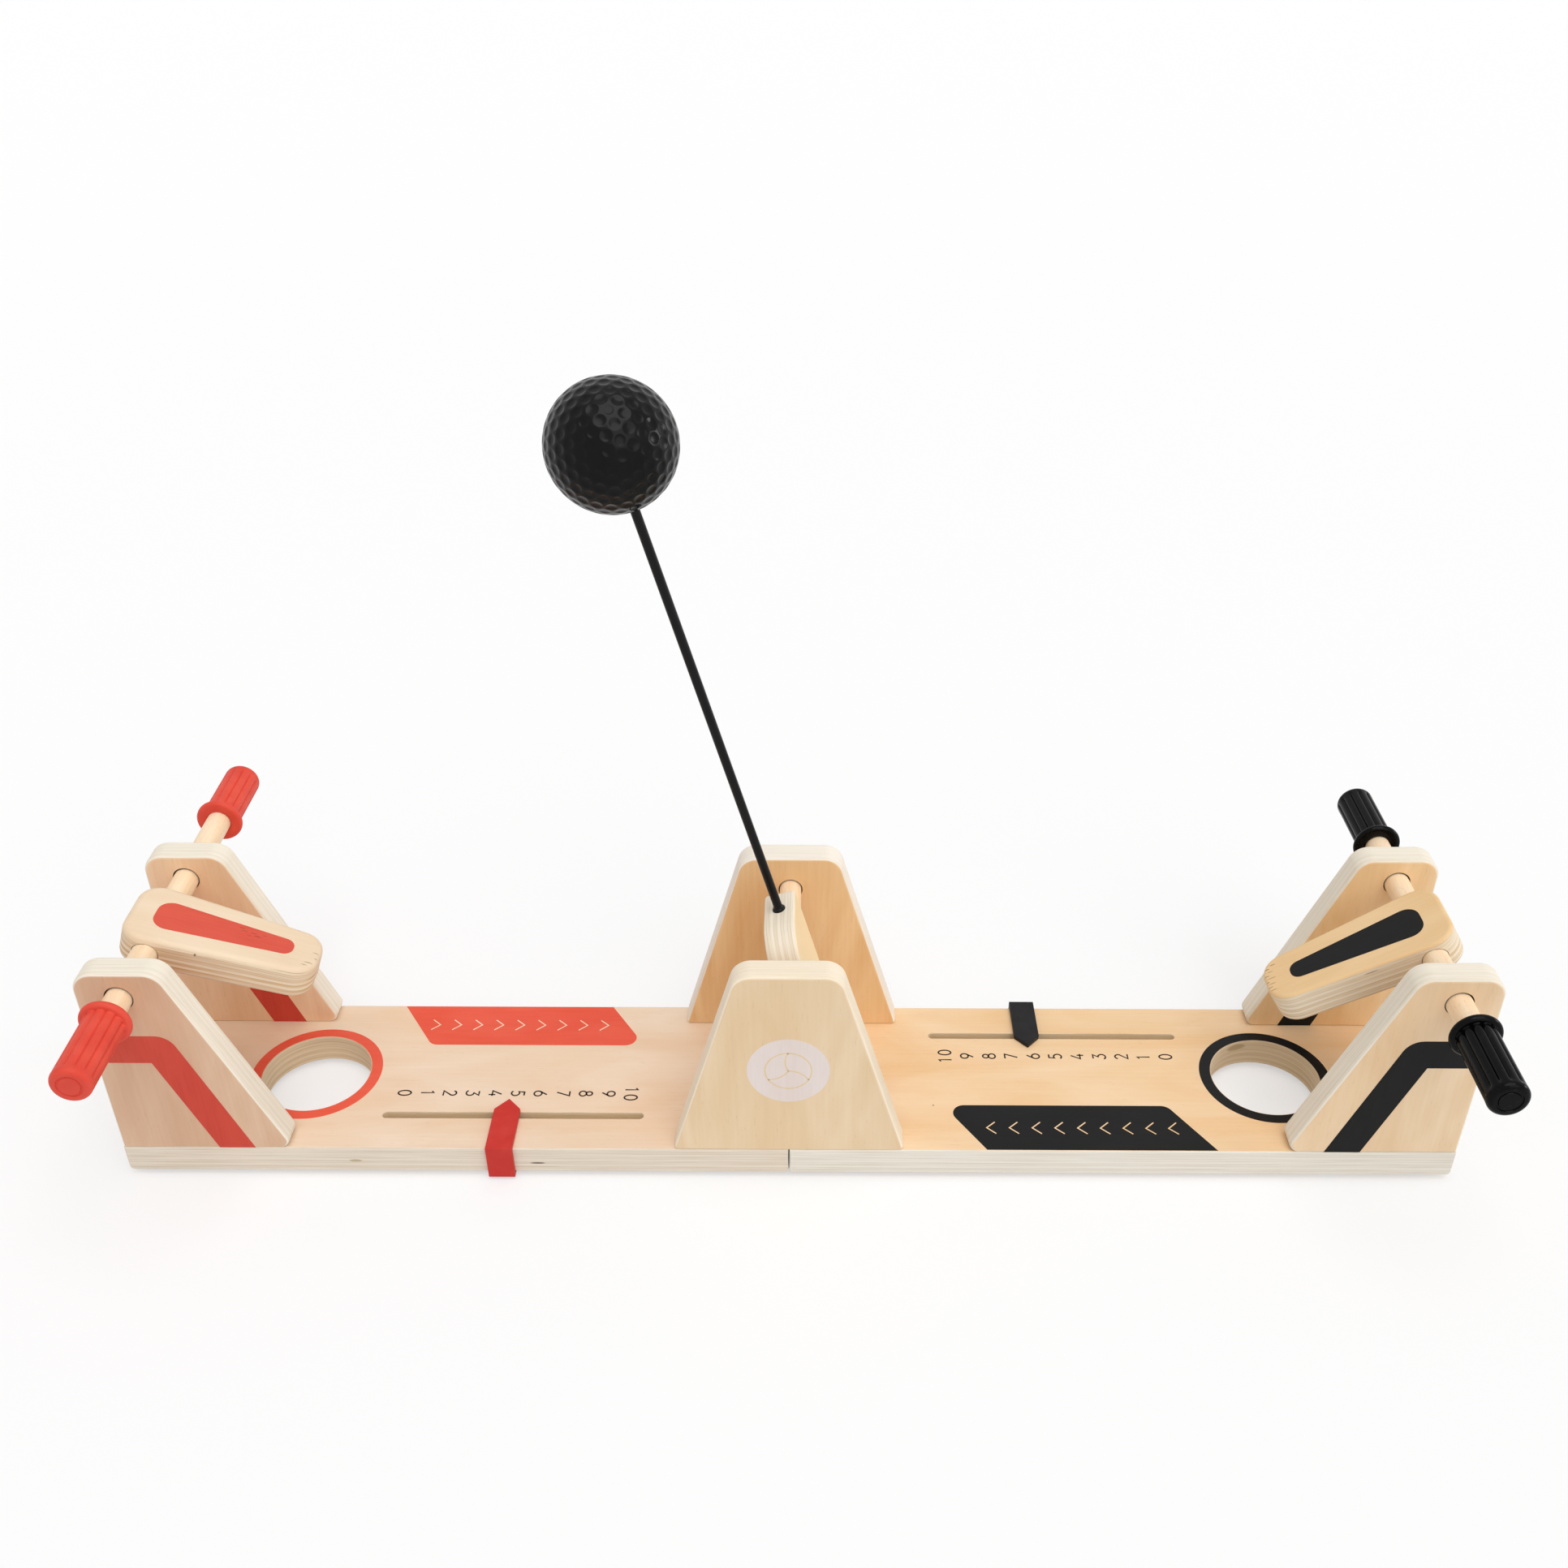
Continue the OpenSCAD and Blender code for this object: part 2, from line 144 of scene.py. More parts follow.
def marked(tree, place, wood, marks):
    """Small ragged marks on a face. Each is its spot on the board, its size along and across the
    grain, both in mm, and its shade."""
    for x, y, length, width, shade in marks:
        reach = mark_reach(tree, place, (x, y, 0), (length, width, MARK_DEPTH))
        ragged = add(tree, "ShaderNodeMath", (grain(tree, place, (0.8, 0.5, 0.5)), 0.7, reach),
                     operation="MULTIPLY_ADD")
        cover = add(tree, "ShaderNodeMapRange", (ragged, 0.9, 1.3, 0.75, 0.0))
        wood = add(tree, "ShaderNodeMix", (cover, wood, shade), data_type="RGBA")
    return wood


def birch_veneer(name, place, pale, dark, marks=()):
    """Rotary-cut birch veneer under matt lacquer: cloudy figure that runs with the grain, faint
    fibres and a few short pores. The fibres are drawn three times too coarse, so that they show."""
    material, tree, shader = new_material(name, 0.48, Specular_IOR_Level=0.35)
    cloud = grain(tree, place, (95, 24, 20), 3.0, (0.33, 0.67, 0.0, 0.8), 0.9)
    fibre = grain(tree, place, (44, 1.2, 1.2), 3.0, (0.3, 0.7))
    pore = grain(tree, place, (5, 0.45, 0.45), 1.0, (0.69, 0.78, 0.0, 0.16))
    tone = add(tree, "ShaderNodeMath", (fibre, 0.2, cloud), operation="MULTIPLY_ADD")
    wood = add(tree, "ShaderNodeMix", (tone, pale, dark), data_type="RGBA")
    wood = add(tree, "ShaderNodeMix", (pore, wood, "#9A6B3F"), data_type="RGBA")
    wood = marked(tree, place, wood, marks)
    return finished(material, tree, shader, wood, fibre, 0.06 * MM, 0.12)


GLUE_LINE = "#A88D66"
MIDDLE_PLY = 20.5
MARK_ACROSS = 4


def ply_edge(name, place, plies, pale, tan, contrast=1.0, line=GLUE_LINE, marks=()):
    """The sawn and sanded edge of birch plywood: pale plies of slightly different shades, each with
    fine fibres along it, and a thin greyish glue line between them. The fibres are drawn twice too
    coarse, so that they show. A mark is its spot, its length and height in mm, and its shade."""
    material, tree, shader = new_material(name, 0.6, Specular_IOR_Level=0.3)
    sheets = own_axes(tree, place, (1, 1, place["thick"] / plies))
    height = add(tree, "ShaderNodeSeparateXYZ", (sheets,))
    wander = grain(tree, place, (30, 30, 8), 2.0, (0.0, 1.0, MIDDLE_PLY - 0.24, MIDDLE_PLY + 0.24))
    count = add(tree, "ShaderNodeMath", (height.outputs["Z"], wander), operation="ADD")
    sheet = add(tree, "ShaderNodeMath", (count,), operation="FLOOR")
    chance = add(tree, "ShaderNodeTexWhiteNoise", (sheet,), noise_dimensions="1D")
    turn = add(tree, "ShaderNodeMath", (sheet, 2.0), operation="FLOORED_MODULO")
    turn = add(tree, "ShaderNodeMath", (turn, 0.22 * contrast), operation="MULTIPLY")
    shade = add(tree, "ShaderNodeMath", (chance, 0.3 * contrast, turn), operation="MULTIPLY_ADD")
    streak = grain(tree, place, (26, 26, 0.42), 3.0, (0.34, 0.7, -0.25, 0.4))
    tone = add(tree, "ShaderNodeMath", (shade, streak), operation="ADD", use_clamp=True)
    wood = add(tree, "ShaderNodeMix", (tone, pale, tan), data_type="RGBA")
    patch = grain(tree, place, (16, 16, 5), 2.0, (0.35, 0.65, 0.2, 1.0))
    seam = add(tree, "ShaderNodeMath", (count, 0.5), operation="PINGPONG")
    glue = add(tree, "ShaderNodeMapRange", (seam, 0.09, 0.015, 0.0, 0.42 * contrast))
    glue = add(tree, "ShaderNodeMath", (glue, patch), operation="MULTIPLY")
    wood = add(tree, "ShaderNodeMix", (glue, wood, line), data_type="RGBA")
    for x, y, z, length, high, shade in marks:
        reach = mark_reach(tree, place, (x, y, z), (length, MARK_ACROSS, high))
        cover = add(tree, "ShaderNodeMapRange", (reach, 0.7, 1.1, 0.8, 0.0))
        wood = add(tree, "ShaderNodeMix", (cover, wood, shade), data_type="RGBA")
    return finished(material, tree, shader, wood, streak, 0.1 * MM, 0.16)


def board_woods(label, place, plies, face, edge, drilled, marks=((), (), ())):
    """The three woods of a board: its face veneer, its sanded edge, and its drilled holes."""
    return [
        birch_veneer(f"{label} birch veneer, lacquered", place, *face, marks=marks[0]),
        ply_edge(f"{label} plywood edge, sanded", place, plies, *edge, marks=marks[1]),
        ply_edge(f"{label} plywood, drilled", place, plies, *drilled, marks=marks[2]),
    ]


def merged(node):
    """A copy of a CAD node's mesh with its loose triangles joined up."""
    bm = bmesh.new()
    bm.from_mesh(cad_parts[node].data)
    bmesh.ops.remove_doubles(bm, verts=bm.verts, dist=0.001 * MM)
    bm.normal_update()
    return bm


def rims(bm, up, level):
    """The closed outlines of the flat faces that look up at this level."""
    flat = {f for f in bm.faces if f.normal.dot(up) > 0.999
            and abs(f.calc_center_median().dot(up) - level) < 0.002 * MM}
    rim = [e for e in bm.edges if sum(f in flat for f in e.link_faces) == 1]
    loops = []
    while rim:
        first, here = rim.pop().verts
        loop = [first.co.copy()]
        while here is not first:
            if (here.co - loop[-1]).length > 0.01 * MM:
                loop.append(here.co.copy())
            edge = next(e for e in rim if here in e.verts)
            rim.remove(edge)
            here = edge.other_vert(here)
        loops.append(loop)
    return loops


def board_place(node, grain_way):
    """Where a plywood board lies: its axes along the grain, across it and through it, its centre,
    its thickness, and its outlines on its low and its high face."""
    bm = merged(node)
    areas = {}
    for face in bm.faces:
        way = face.normal * math.copysign(1, max(face.normal, key=abs))
        key = tuple(round(c, 2) for c in way)
        total, best, best_way = areas.get(key, (0, 0, way))
        size = face.calc_area()
        areas[key] = (total + size, max(best, size), way.copy() if size > best else best_way)
    through = max(areas.values(), key=lambda a: a[0])[2].normalized()
    along = (Vector(grain_way) - through * through.dot(Vector(grain_way))).normalized()
    axes = Matrix((along, through.cross(along), through))
    spots = [axes @ v.co for v in bm.verts]
    low, high = [Vector([pick(p[i] for p in spots) for i in range(3)]) for pick in (min, max)]
    centre = axes.transposed() @ ((low + high) / 2)
    place = {
        "axes": axes, "centre": centre, "turn": axes.transposed().to_euler(),
        "thick": high.z - low.z,
    }
    for name, up, level in (("low", -through, -low.z), ("high", through, high.z)):
        loops = [[(axes @ (p - centre)).to_2d() for p in loop] for loop in rims(bm, up, level)]
        place[name] = sorted(loops, key=lambda p: -abs(signed_area(p)))
    bm.free()
    return place


def signed_area(loop):
    """Above zero where the loop runs anticlockwise."""
    return sum(a.cross(b) for a, b in zip(loop, loop[1:] + loop[:1])) / 2


def circle(centre, radius, count=96):
    """A round loop, anticlockwise."""
    turns = [2 * math.pi * k / count for k in range(count)]
    return [Vector((centre[0] + radius * math.cos(a), centre[1] + radius * math.sin(a)))
            for a in turns]


def true_round(loop):
    """A loop with its middle and its radius, as a finer circle where all its points lie on one."""
    spots = np.array([tuple(p) for p in loop])
    terms = np.c_[2 * spots, np.ones(len(spots))]
    fit = np.linalg.lstsq(terms, (spots ** 2).sum(axis=1), rcond=None)[0]
    centre = Vector(fit[:2].tolist())
    reach = [(p - centre).length for p in loop]
    if len(loop) < 12 or max(reach) - min(reach) > 0.02 * MM:
        return loop, centre, None
    return circle(centre, max(reach)), centre, max(reach)


def rounded(points, radii, steps=8):
    """An outline with corner i rounded to radii[i], as an arc from tangent to tangent."""
    loop = []
    for i, here in enumerate(points):
        here = Vector(here)
        back = (Vector(points[i - 1]) - here).normalized()
        ahead = (Vector(points[(i + 1) % len(points)]) - here).normalized()
        if radii[i] == 0:
            loop.append(here)
            continue
        half = back.angle(ahead) / 2
        centre = here + (back + ahead).normalized() * radii[i] / math.sin(half)
        start = here + back * radii[i] / math.tan(half) - centre
        sweep = math.copysign(math.pi - 2 * half, ahead.cross(back))
        for k in range(steps + 1):
            loop.append(centre + Matrix.Rotation(sweep * k / steps, 2) @ start)
    return loop


def softened(loop, radius):
    """The outline with each sharp corner taken off by sandpaper to this radius."""
    corners = zip(loop[-1:] + loop[:-1], loop, loop[1:] + loop[:1])
    turns = [(b - a).angle(c - b) for a, b, c in corners]
    return rounded(loop, [radius if t > math.radians(25) else 0 for t in turns], 4)


def mitres(loop, closed=True):
    """For each point, how far it moves when the line is shifted one unit to its left."""
    moves = []
    for i, here in enumerate(loop):
        back = here - loop[i - 1] if closed or i else loop[1] - here
        ahead = loop[(i + 1) % len(loop)] - here if closed or i + 1 < len(loop) else back
        left, right = [Vector((-w.y, w.x)).normalized() for w in (back, ahead)]
        moves.append((left + right) / (1 + left.dot(right)))
    return moves


def quarter(radius, steps):
    """Inset and drop of the points over a rounded edge."""
    turns = [math.pi / 2 * k / steps for k in range(steps + 1)]
    return [(radius * (1 - math.sin(a)), radius * (1 - math.cos(a))) for a in turns]


def edge_profile(ease):
    """Inset and drop of each ring over a sanded edge, between two narrow flat strips."""
    return [(ease + FLAT_STRIP, 0.0)] + quarter(ease, 4) + [(0.0, ease + FLAT_STRIP)]


def band(bm, lower, upper, slot):
    """Quads between two rings of as many points."""
    for i in range(len(lower)):
        j = (i + 1) % len(lower)
        bm.faces.new((lower[i], lower[j], upper[j], upper[i])).material_index = slot


def fill(bm, rings, slot):
    """A flat face inside the first ring and outside the others."""
    edges = []
    for ring in rings:
        for a, b in zip(ring, ring[1:] + ring[:1]):
            edges.append(bm.edges.get((a, b)) or bm.edges.new((a, b)))
    made = bmesh.ops.triangle_fill(bm, edges=edges, use_beauty=True, normal=(0, 0, 1))
    for part in made["geom"]:
        if isinstance(part, bmesh.types.BMFace):
            part.material_index = slot


def new_piece(name, bm, materials=()):
    """Turns the mesh into an object at the origin, with outward faces."""
    bmesh.ops.recalc_face_normals(bm, faces=bm.faces)
    mesh = bpy.data.meshes.new(name)
    bm.to_mesh(mesh)
    bm.free()
    for material in materials:
        mesh.materials.append(material)
    obj = bpy.data.objects.new(name, mesh)
    bpy.context.scene.collection.objects.link(obj)
    return obj


def applied(obj):
    """Swaps the object's mesh for what its modifiers make of it."""
    depsgraph = bpy.context.evaluated_depsgraph_get()
    made = bpy.data.meshes.new_from_object(obj.evaluated_get(depsgraph), depsgraph=depsgraph)
    obj.modifiers.clear()
    obj.data = made
    made.name = obj.name
    return obj


def smoothed(obj, crisp_from=40):
    """Smooth shading with crisp edges past an angle, and wide faces that stay flat."""
    obj.data.shade_smooth()
    obj.data.set_sharp_from_angle(angle=math.radians(crisp_from))
    obj.modifiers.new("flat faces", "WEIGHTED_NORMAL").keep_sharp = True
    return applied(obj)


def bored(obj, cutters):
    """Drills or planes the solid with each cutter: a loop of points, and how far it is swept."""
    bm = bmesh.new()
    for loop, sweep in cutters:
        near = [bm.verts.new(p) for p in loop]
        far = [bm.verts.new(Vector(p) + Vector(sweep)) for p in loop]
        band(bm, near, far, 2)
        for ring in (near, far):
            bm.faces.new(ring).material_index = 2
    tool = new_piece("cutter", bm, obj.data.materials)
    cut = obj.modifiers.new("cut", "BOOLEAN")
    cut.object = tool
    cut.solver = "EXACT"
    cut.operation = "DIFFERENCE"
    applied(obj)
    bpy.data.objects.remove(tool)
    return obj


def sheet_mesh(bm, outline, holes, half, ease, hole_ease=0.2 * MM, share=None, skin=2):
    """A closed flat solid with sanded edges. Each hole is a clockwise loop, its depth from the high
    face (or below zero, from the low face), and how far its floor shrinks. No depth goes through.
    The face veneer also shows on the first rings of the eased edge, as many as skin says."""
    caps = {1: [], -1: []}

    def ring(loop, moves, inset, drop, side, shares):
        return [bm.verts.new((*(p + m * inset * s), side * (half - drop * s)))
                for p, m, s in zip(loop, moves, shares)]

    def wall(loop, profile, slot, shares, skin=1):
        moves = mitres(loop)
        rings = [ring(loop, moves, inset, drop, -1, shares) for inset, drop in profile]
        rings += [ring(loop, moves, inset, drop, 1, shares) for inset, drop in reversed(profile)]
        for k, (lower, upper) in enumerate(zip(rings, rings[1:])):
            band(bm, lower, upper, 0 if min(k, len(rings) - 2 - k) < skin else slot)
        caps[-1].append(rings[0])
        caps[1].append(rings[-1])

    wall(outline, edge_profile(ease), 1, [share(p) if share else 1.0 for p in outline], skin)
    for loop, depth, shrink in holes:
        even = [1.0] * len(loop)
        if depth is None:
            wall(loop, edge_profile(hole_ease), 2, even)
            continue
        side = 1 if depth > 0 else -1
        moves = mitres(loop)
        rings = [ring(loop, moves, inset, drop, side, even)
                 for inset, drop in edge_profile(hole_ease)]
        rings.append(ring(loop, moves, -shrink, abs(depth), side, even))
        for k, (lower, upper) in enumerate(zip(rings, rings[1:])):
            band(bm, lower, upper, 0 if k == 0 else 2)
        fill(bm, rings[-1:], 2)
        caps[side].append(rings[0])
    for rings in caps.values():
        fill(bm, rings, 0)


def to_place(bm, place):
    """Moves a mesh from a board's own axes to its place in the game."""
    turn = place["axes"].transposed().to_4x4()
    bmesh.ops.transform(bm, matrix=Matrix.Translation(place["centre"]) @ turn, verts=bm.verts)


def plywood(name, place, materials, ease, share=None, play=0.0, lift=0.0, depth=None, sink=None,
            cutters=(), skin=2):
    """A plywood board from the outlines of its CAD node. A hole on both faces goes through. One on
    a single face has this depth, or is sunk for a screw head. Each is wider by this much play, and
    lies this much higher, because what runs in it rests on its lower side."""
    outline = place["high"][0]
    if signed_area(outline) < 0:
        outline.reverse()
    outline = softened(outline, ease * 1.15)
    found = {side: [true_round(loop) for loop in place[side][1:]] for side in ("high", "low")}
    holes = []
    for side, other, sign in (("high", "low", 1), ("low", "high", -1)):
        for loop, centre, radius in found[side]:
            if radius is not None and radius < SMALLEST_HOLE:
                continue
            through = radius is not None and any(
                r is not None and abs(r - radius) < FLAT_STRIP and (centre - c).length < FLAT_STRIP
                for _, c, r in found[other])
            if through and sign < 0:
                continue
            if signed_area(loop) > 0:
                loop = loop[::-1]
            loop = [p + m * play + Vector((lift, 0)) for p, m in zip(loop, mitres(loop))]
            if through:
                holes.append((loop, None, 0))
            elif sign < 0 and sink:
                holes.append((loop, -sink, sink))
            else:
                holes.append((loop, sign * depth, 0))
    bm = bmesh.new()

    def share_at(point):
        return share(place["centre"] + place["axes"].transposed() @ Vector((*point, 0)))

    sheet_mesh(bm, outline, holes, place["thick"] / 2, ease,
               share=share_at if share else None, skin=skin)
    to_place(bm, place)
    obj = new_piece(name, bm, materials)
    if cutters:
        bored(obj, cutters)
    return smoothed(obj)


def fixed(obj, body, slot, *nodes):
    """Fixes a finished piece to the body that carries it, in place of its CAD nodes."""
    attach(obj, body)
    if nodes:
        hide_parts(*nodes)
    return obj


def end_cutter(x, inward, planed):
    """Rounds the lower edge of a court board at one end. A planed end also loses what juts out."""
    bend = quarter(END_ROUND, 8)
    out = -END_ROUND / 4
    top = COURT_TOP - COURT_UNDER - out if planed else END_ROUND
    loop = [(END_ROUND, out)] + bend + ([(0, top)] if planed else []) + [(out, top), (out, out)]
    side = -COURT_SIDE - END_ROUND
    return [(x + inward * u, side, COURT_UNDER + w) for u, w in loop], (0, -2 * side, 0)


def seam_share(point):
    """The ends that meet at the seam are left almost sharp."""
    return 0.15 if abs(point.x) < FLAT_STRIP else 1.0


COURT_PLIES = 9
COURT_COLOURS = {"left": ("#EFD8C0", "#E6C4A2"), "right": ("#F2D4AF", "#E8BE8B")}
EDGE_COLOURS = {"left": ("#E9DDCC", "#CEBDA5", 0.75), "right": ("#EDE7DB", "#D5CBB9", 0.75)}
COURT_HOLES = ("#E8D4B4", "#CDB088", 0.9, "#9A764C")
# Marks in the wood of the face, the edge and the holes, in mm on each board's own axes. The last
# one of each edge is a painted shadow: the dark line of shade in the seam where the boards meet.
COURT_MARKS_AND_SEAM_SHADOW = {
    "left": (
        [],
        [(30.6, -41.5, -1.6, 3.0, 0.5, "#4E3826"), (-39.2, -41.5, -0.7, 2.6, 0.7, "#B3A27F"),
         (127.0, -41.5, 1.6, 0.42, 7.0, "#2A2019")],
        [],
    ),
    "right": (
        [(-70.5, -17.1, 0.5, 0.4, "#4A3626")],
        [(-127.0, -41.5, 1.6, 0.42, 7.0, "#2A2019")],
        [(57.0, 20.3, 3.4, 4.6, 1.7, "#B59B72")],
    ),
}
WAYS = {"left": -1, "right": 1}
PLYWOOD_SLOTS = {"left": "pale_plywood", "right": "warm_plywood"}
court_place = {side: board_place(f"base_{side}", (1, 0, 0)) for side in WAYS}
for side, way in WAYS.items():
    woods = board_woods(f"{side} court", court_place[side], COURT_PLIES, COURT_COLOURS[side],
                        EDGE_COLOURS[side], COURT_HOLES, COURT_MARKS_AND_SEAM_SHADOW[side])
    ends = [end_cutter(way * COURT_END, -way, False), end_cutter(way * SEAM_GAP / 2, way, True)]
    court = plywood(f"court_{side}", court_place[side], woods, COURT_EASE, seam_share,
                    depth=SLOT_DEPTH, sink=SINK_DEPTH, cutters=ends)
    fixed(court, "court", PLYWOOD_SLOTS[side], f"base_{side}")


# The prints on the court, red on the left and black on the right: a ring round each goal, a banner
# with plain chevrons on one edge, and a scale from 0 to 10 beside each score slot. They are
# silk-screened on before the lacquer, so they are flat, matt and slightly uneven.
INK = 0.03 * MM
INK_LAP = 0.004 * MM
GOAL_X = 191 * MM
RING_RADII = (21.75 * MM, 26.1 * MM)
BANNER = [(-163.5, 41), (-75.6, 41), (-60.2, 17), (-148.2, 17)]
BANNER_CORNERS = [0, 0, 4.5, 4.5]
SCALE_X = 153 * MM
SCALE_Y = 11.4 * MM
SCORE_STEP = 9 * MM
DIGIT_HEIGHT = 5.1 * MM
DIGIT_PEN = 0.66 * MM
LONGEST_MITRE = 1.6
CHEVRON = [(-1.7, 3.1), (1.7, 0), (-1.7, -3.1)]
CHEVRON_ROW = (-148.5, 29.3)
CHEVRON_STEP = 8.8
CHEVRON_COUNT = 9
CHEVRON_PEN = 0.5 * MM
SECOND_COAT = 1.5 * INK


def screen_ink(name, place, thick, thin, marks=()):
    """Silk-screen ink on wood: flat and matt, a touch thinner along the fibres, with the scuffs of
    play."""
    material, tree, shader = new_material(name, 0.5, Specular_IOR_Level=0.15)
    cloud = grain(tree, place, (30, 12, 12), 2.0, (0.35, 0.65, 0.0, 0.6))
    fibre = grain(tree, place, (14, 0.7, 0.7), 2.0, (0.35, 0.7))
    tone = add(tree, "ShaderNodeMath", (fibre, 0.4, cloud), operation="MULTIPLY_ADD")
    ink = add(tree, "ShaderNodeMix", (tone, thick, thin), data_type="RGBA")
    return finished(material, tree, shader, marked(tree, place, ink, marks), fibre, 0.04 * MM, 0.12)


def film(bm, place, side, loops):
    """A closed film of ink on one face: an outline, and the bare spots inside it."""
    half = place["thick"] / 2
    levels = []
    for height in (half - INK_LAP, half + INK):
        levels.append([[bm.verts.new((*p, side * height)) for p in loop] for loop in loops])
    for lower, upper in zip(*levels):
        band(bm, lower, upper, 0)
    for rings in levels:
        fill(bm, rings, 0)


def pen_line(bm, place, side, line, closed, width, lift):
    """A closed ribbon of ink along a line on one face."""
    half = place["thick"] / 2
    moves = [m * min(1.0, LONGEST_MITRE / m.length) for m in mitres(line, closed)]
    foot, top = half - INK_LAP, half + lift
    rows = []
    for offset, height in ((-1, foot), (-1, top), (1, top), (1, foot)):
        rows.append([bm.verts.new((*(p + m * offset * width / 2), side * height))
                     for p, m in zip(line, moves)])
    for i in range(len(line) if closed else len(line) - 1):
        j = (i + 1) % len(line)
        for a, b in zip(rows, rows[1:] + rows[:1]):
            bm.faces.new((a[i], a[j], b[j], b[i]))
    if not closed:
        for i in (0, len(line) - 1):
            bm.faces.new([row[i] for row in rows])


def printed(name, place, material, slot, films=(), lines=(), pen=0.0, lift=INK, body="court"):
    """A finished print on a board of the game, made of films and pen lines. A film is its side of
    the board and its loops. A pen line is its side, its points, and if it closes."""
    bm = bmesh.new()
    for side, loops in films:
        film(bm, place, side, loops)
    for side, line, closed in lines:
        pen_line(bm, place, side, line, closed, pen, lift)
    to_place(bm, place)
    return fixed(smoothed(new_piece(name, bm, [material])), body, slot)


def sweep(x, y, radius_x, radius_y, start, stop, steps=14):
    """Points of a pen stroke along part of an oval, in degrees."""
    turns = [math.radians(start + (stop - start) * k / steps) for k in range(steps + 1)]
    return [(x + radius_x * math.cos(a), y + radius_y * math.sin(a)) for a in turns]


def oval(x, y, radius_x, radius_y):
    """A closed pen stroke round an oval."""
    return sweep(x, y, radius_x, radius_y, 0, 345, 23)


# Each figure is one or two strokes in a box that is one unit tall: their points, and if they close.
FIGURES = {
    "0": [(oval(0.27, 0.5, 0.27, 0.5), True)],
    "1": [([(0.06, 0.84), (0.24, 1.0), (0.24, 0.0)], False)],
    "2": [(sweep(0.27, 0.73, 0.24, 0.27, 165, -28) + [(0.03, 0.0), (0.55, 0.0)], False)],
    "3": [([(0.05, 1.0), (0.5, 1.0), (0.24, 0.6)] + sweep(0.24, 0.3, 0.28, 0.3, 85, -150), False)],
    "4": [([(0.38, 1.0), (0.0, 0.28), (0.56, 0.28)], False), ([(0.42, 0.52), (0.42, 0.0)], False)],
    "5": [([(0.5, 1.0), (0.13, 1.0), (0.08, 0.56)] + sweep(0.24, 0.31, 0.28, 0.31, 105, -140),
           False)],
    "6": [(oval(0.28, 0.3, 0.27, 0.3), True), ([(0.4, 1.0), (0.06, 0.46)], False)],
    "7": [([(0.02, 1.0), (0.52, 1.0), (0.14, 0.0)], False)],
    "8": [(oval(0.27, 0.27, 0.27, 0.27), True), (oval(0.27, 0.77, 0.21, 0.23), True)],
    "9": [(oval(0.28, 0.7, 0.27, 0.3), True), ([(0.16, 0.0), (0.5, 0.54)], False)],
}
FIGURE_WIDTH = 0.54
FIGURE_GAP = 0.28

COURT_INKS = {"left": ("#E9624B", "#E3563F"), "right": ("#101010", "#171717")}
SCALE_INK = ("#231B17", "#382D26")
INK_SLOTS = {"left": "red_marker", "right": "black_marker"}
for side, way in WAYS.items():
    place = court_place[side]
    ink = screen_ink(f"{side} court screen ink", place, *COURT_INKS[side])
    middle = place["centre"].to_2d()
    goal = Vector((way * GOAL_X, 0)) - middle
    inner, outer = [circle(goal, radius, 128) for radius in RING_RADII]
    printed(f"goal_ring_{side}", place, ink, INK_SLOTS[side], [(1, [outer, inner[::-1]])])

    corners = [Vector((x * MM, y * MM)) * -way - middle for x, y in BANNER]
    banner = rounded(corners, [r * MM for r in BANNER_CORNERS])
    printed(f"banner_{side}", place, ink, INK_SLOTS[side], [(1, [banner])])

    chevrons = []
    for k in range(CHEVRON_COUNT):
        tip = Vector(CHEVRON_ROW) + Vector((CHEVRON_STEP * k, 0))
        line = [(tip + Vector(p)) * MM * -way - middle for p in CHEVRON]
        chevrons.append((1, line, False))
    bare = screen_ink(f"{side} banner, bare wood lines", place, *COURT_COLOURS[side])
    printed(f"banner_chevrons_{side}", place, bare, INK_SLOTS[side], [], chevrons, CHEVRON_PEN,
            SECOND_COAT)

    figures = []
    for score in range(11):
        digits = str(score)
        width = len(digits) * FIGURE_WIDTH + (len(digits) - 1) * FIGURE_GAP
        foot = Vector((SCALE_X - score * SCORE_STEP, SCALE_Y))
        for k, digit in enumerate(digits):
            left_edge = k * (FIGURE_WIDTH + FIGURE_GAP) - width / 2
            for stroke, closed in FIGURES[digit]:
                shifts = [Vector((0.5 - y, left_edge + x)) * DIGIT_HEIGHT for x, y in stroke]
                figures.append((1, [(foot + shift) * way - middle for shift in shifts], closed))
    dark = screen_ink(f"{side} scale ink", place, *SCALE_INK)
    printed(f"scale_{side}", place, dark, "black_marker", [], figures, DIGIT_PEN)


# What holds the court together and off the table: two beech dowels glued across the seam, twelve
# countersunk zinc-plated wood screws driven up from below, and stuck-on rubber feet with a strip of
# the same rubber under the seam.
SCREW_SIZES = {
    "Head Diameter": 7.6 * MM, "Shank Diameter": 3.8 * MM, "Length": 34 * MM,
    "Pitch": 1.8 * MM, "Thread Depth": 0.35 * MM,
    "Recess Length": 3 * MM, "Recess Width": 0.9 * MM, "Recess Depth": 1.4 * MM,
}
BRACKET_SCREW_GAP = 34 * MM
FOOT_EASE = 0.4 * MM
FOOT_RADIUS = 7 * MM
FOOT_SIDE = 22 * MM
STRIP_HALF = (12 * MM, 28 * MM)
FLAT = Matrix.Identity(3).to_euler()
ORIGIN = {"centre": (0, 0, 0), "turn": FLAT}
BEECH = ("#FBE3C3", "#F0CFA6")
BEECH_FLECKS = "#C08F5B"
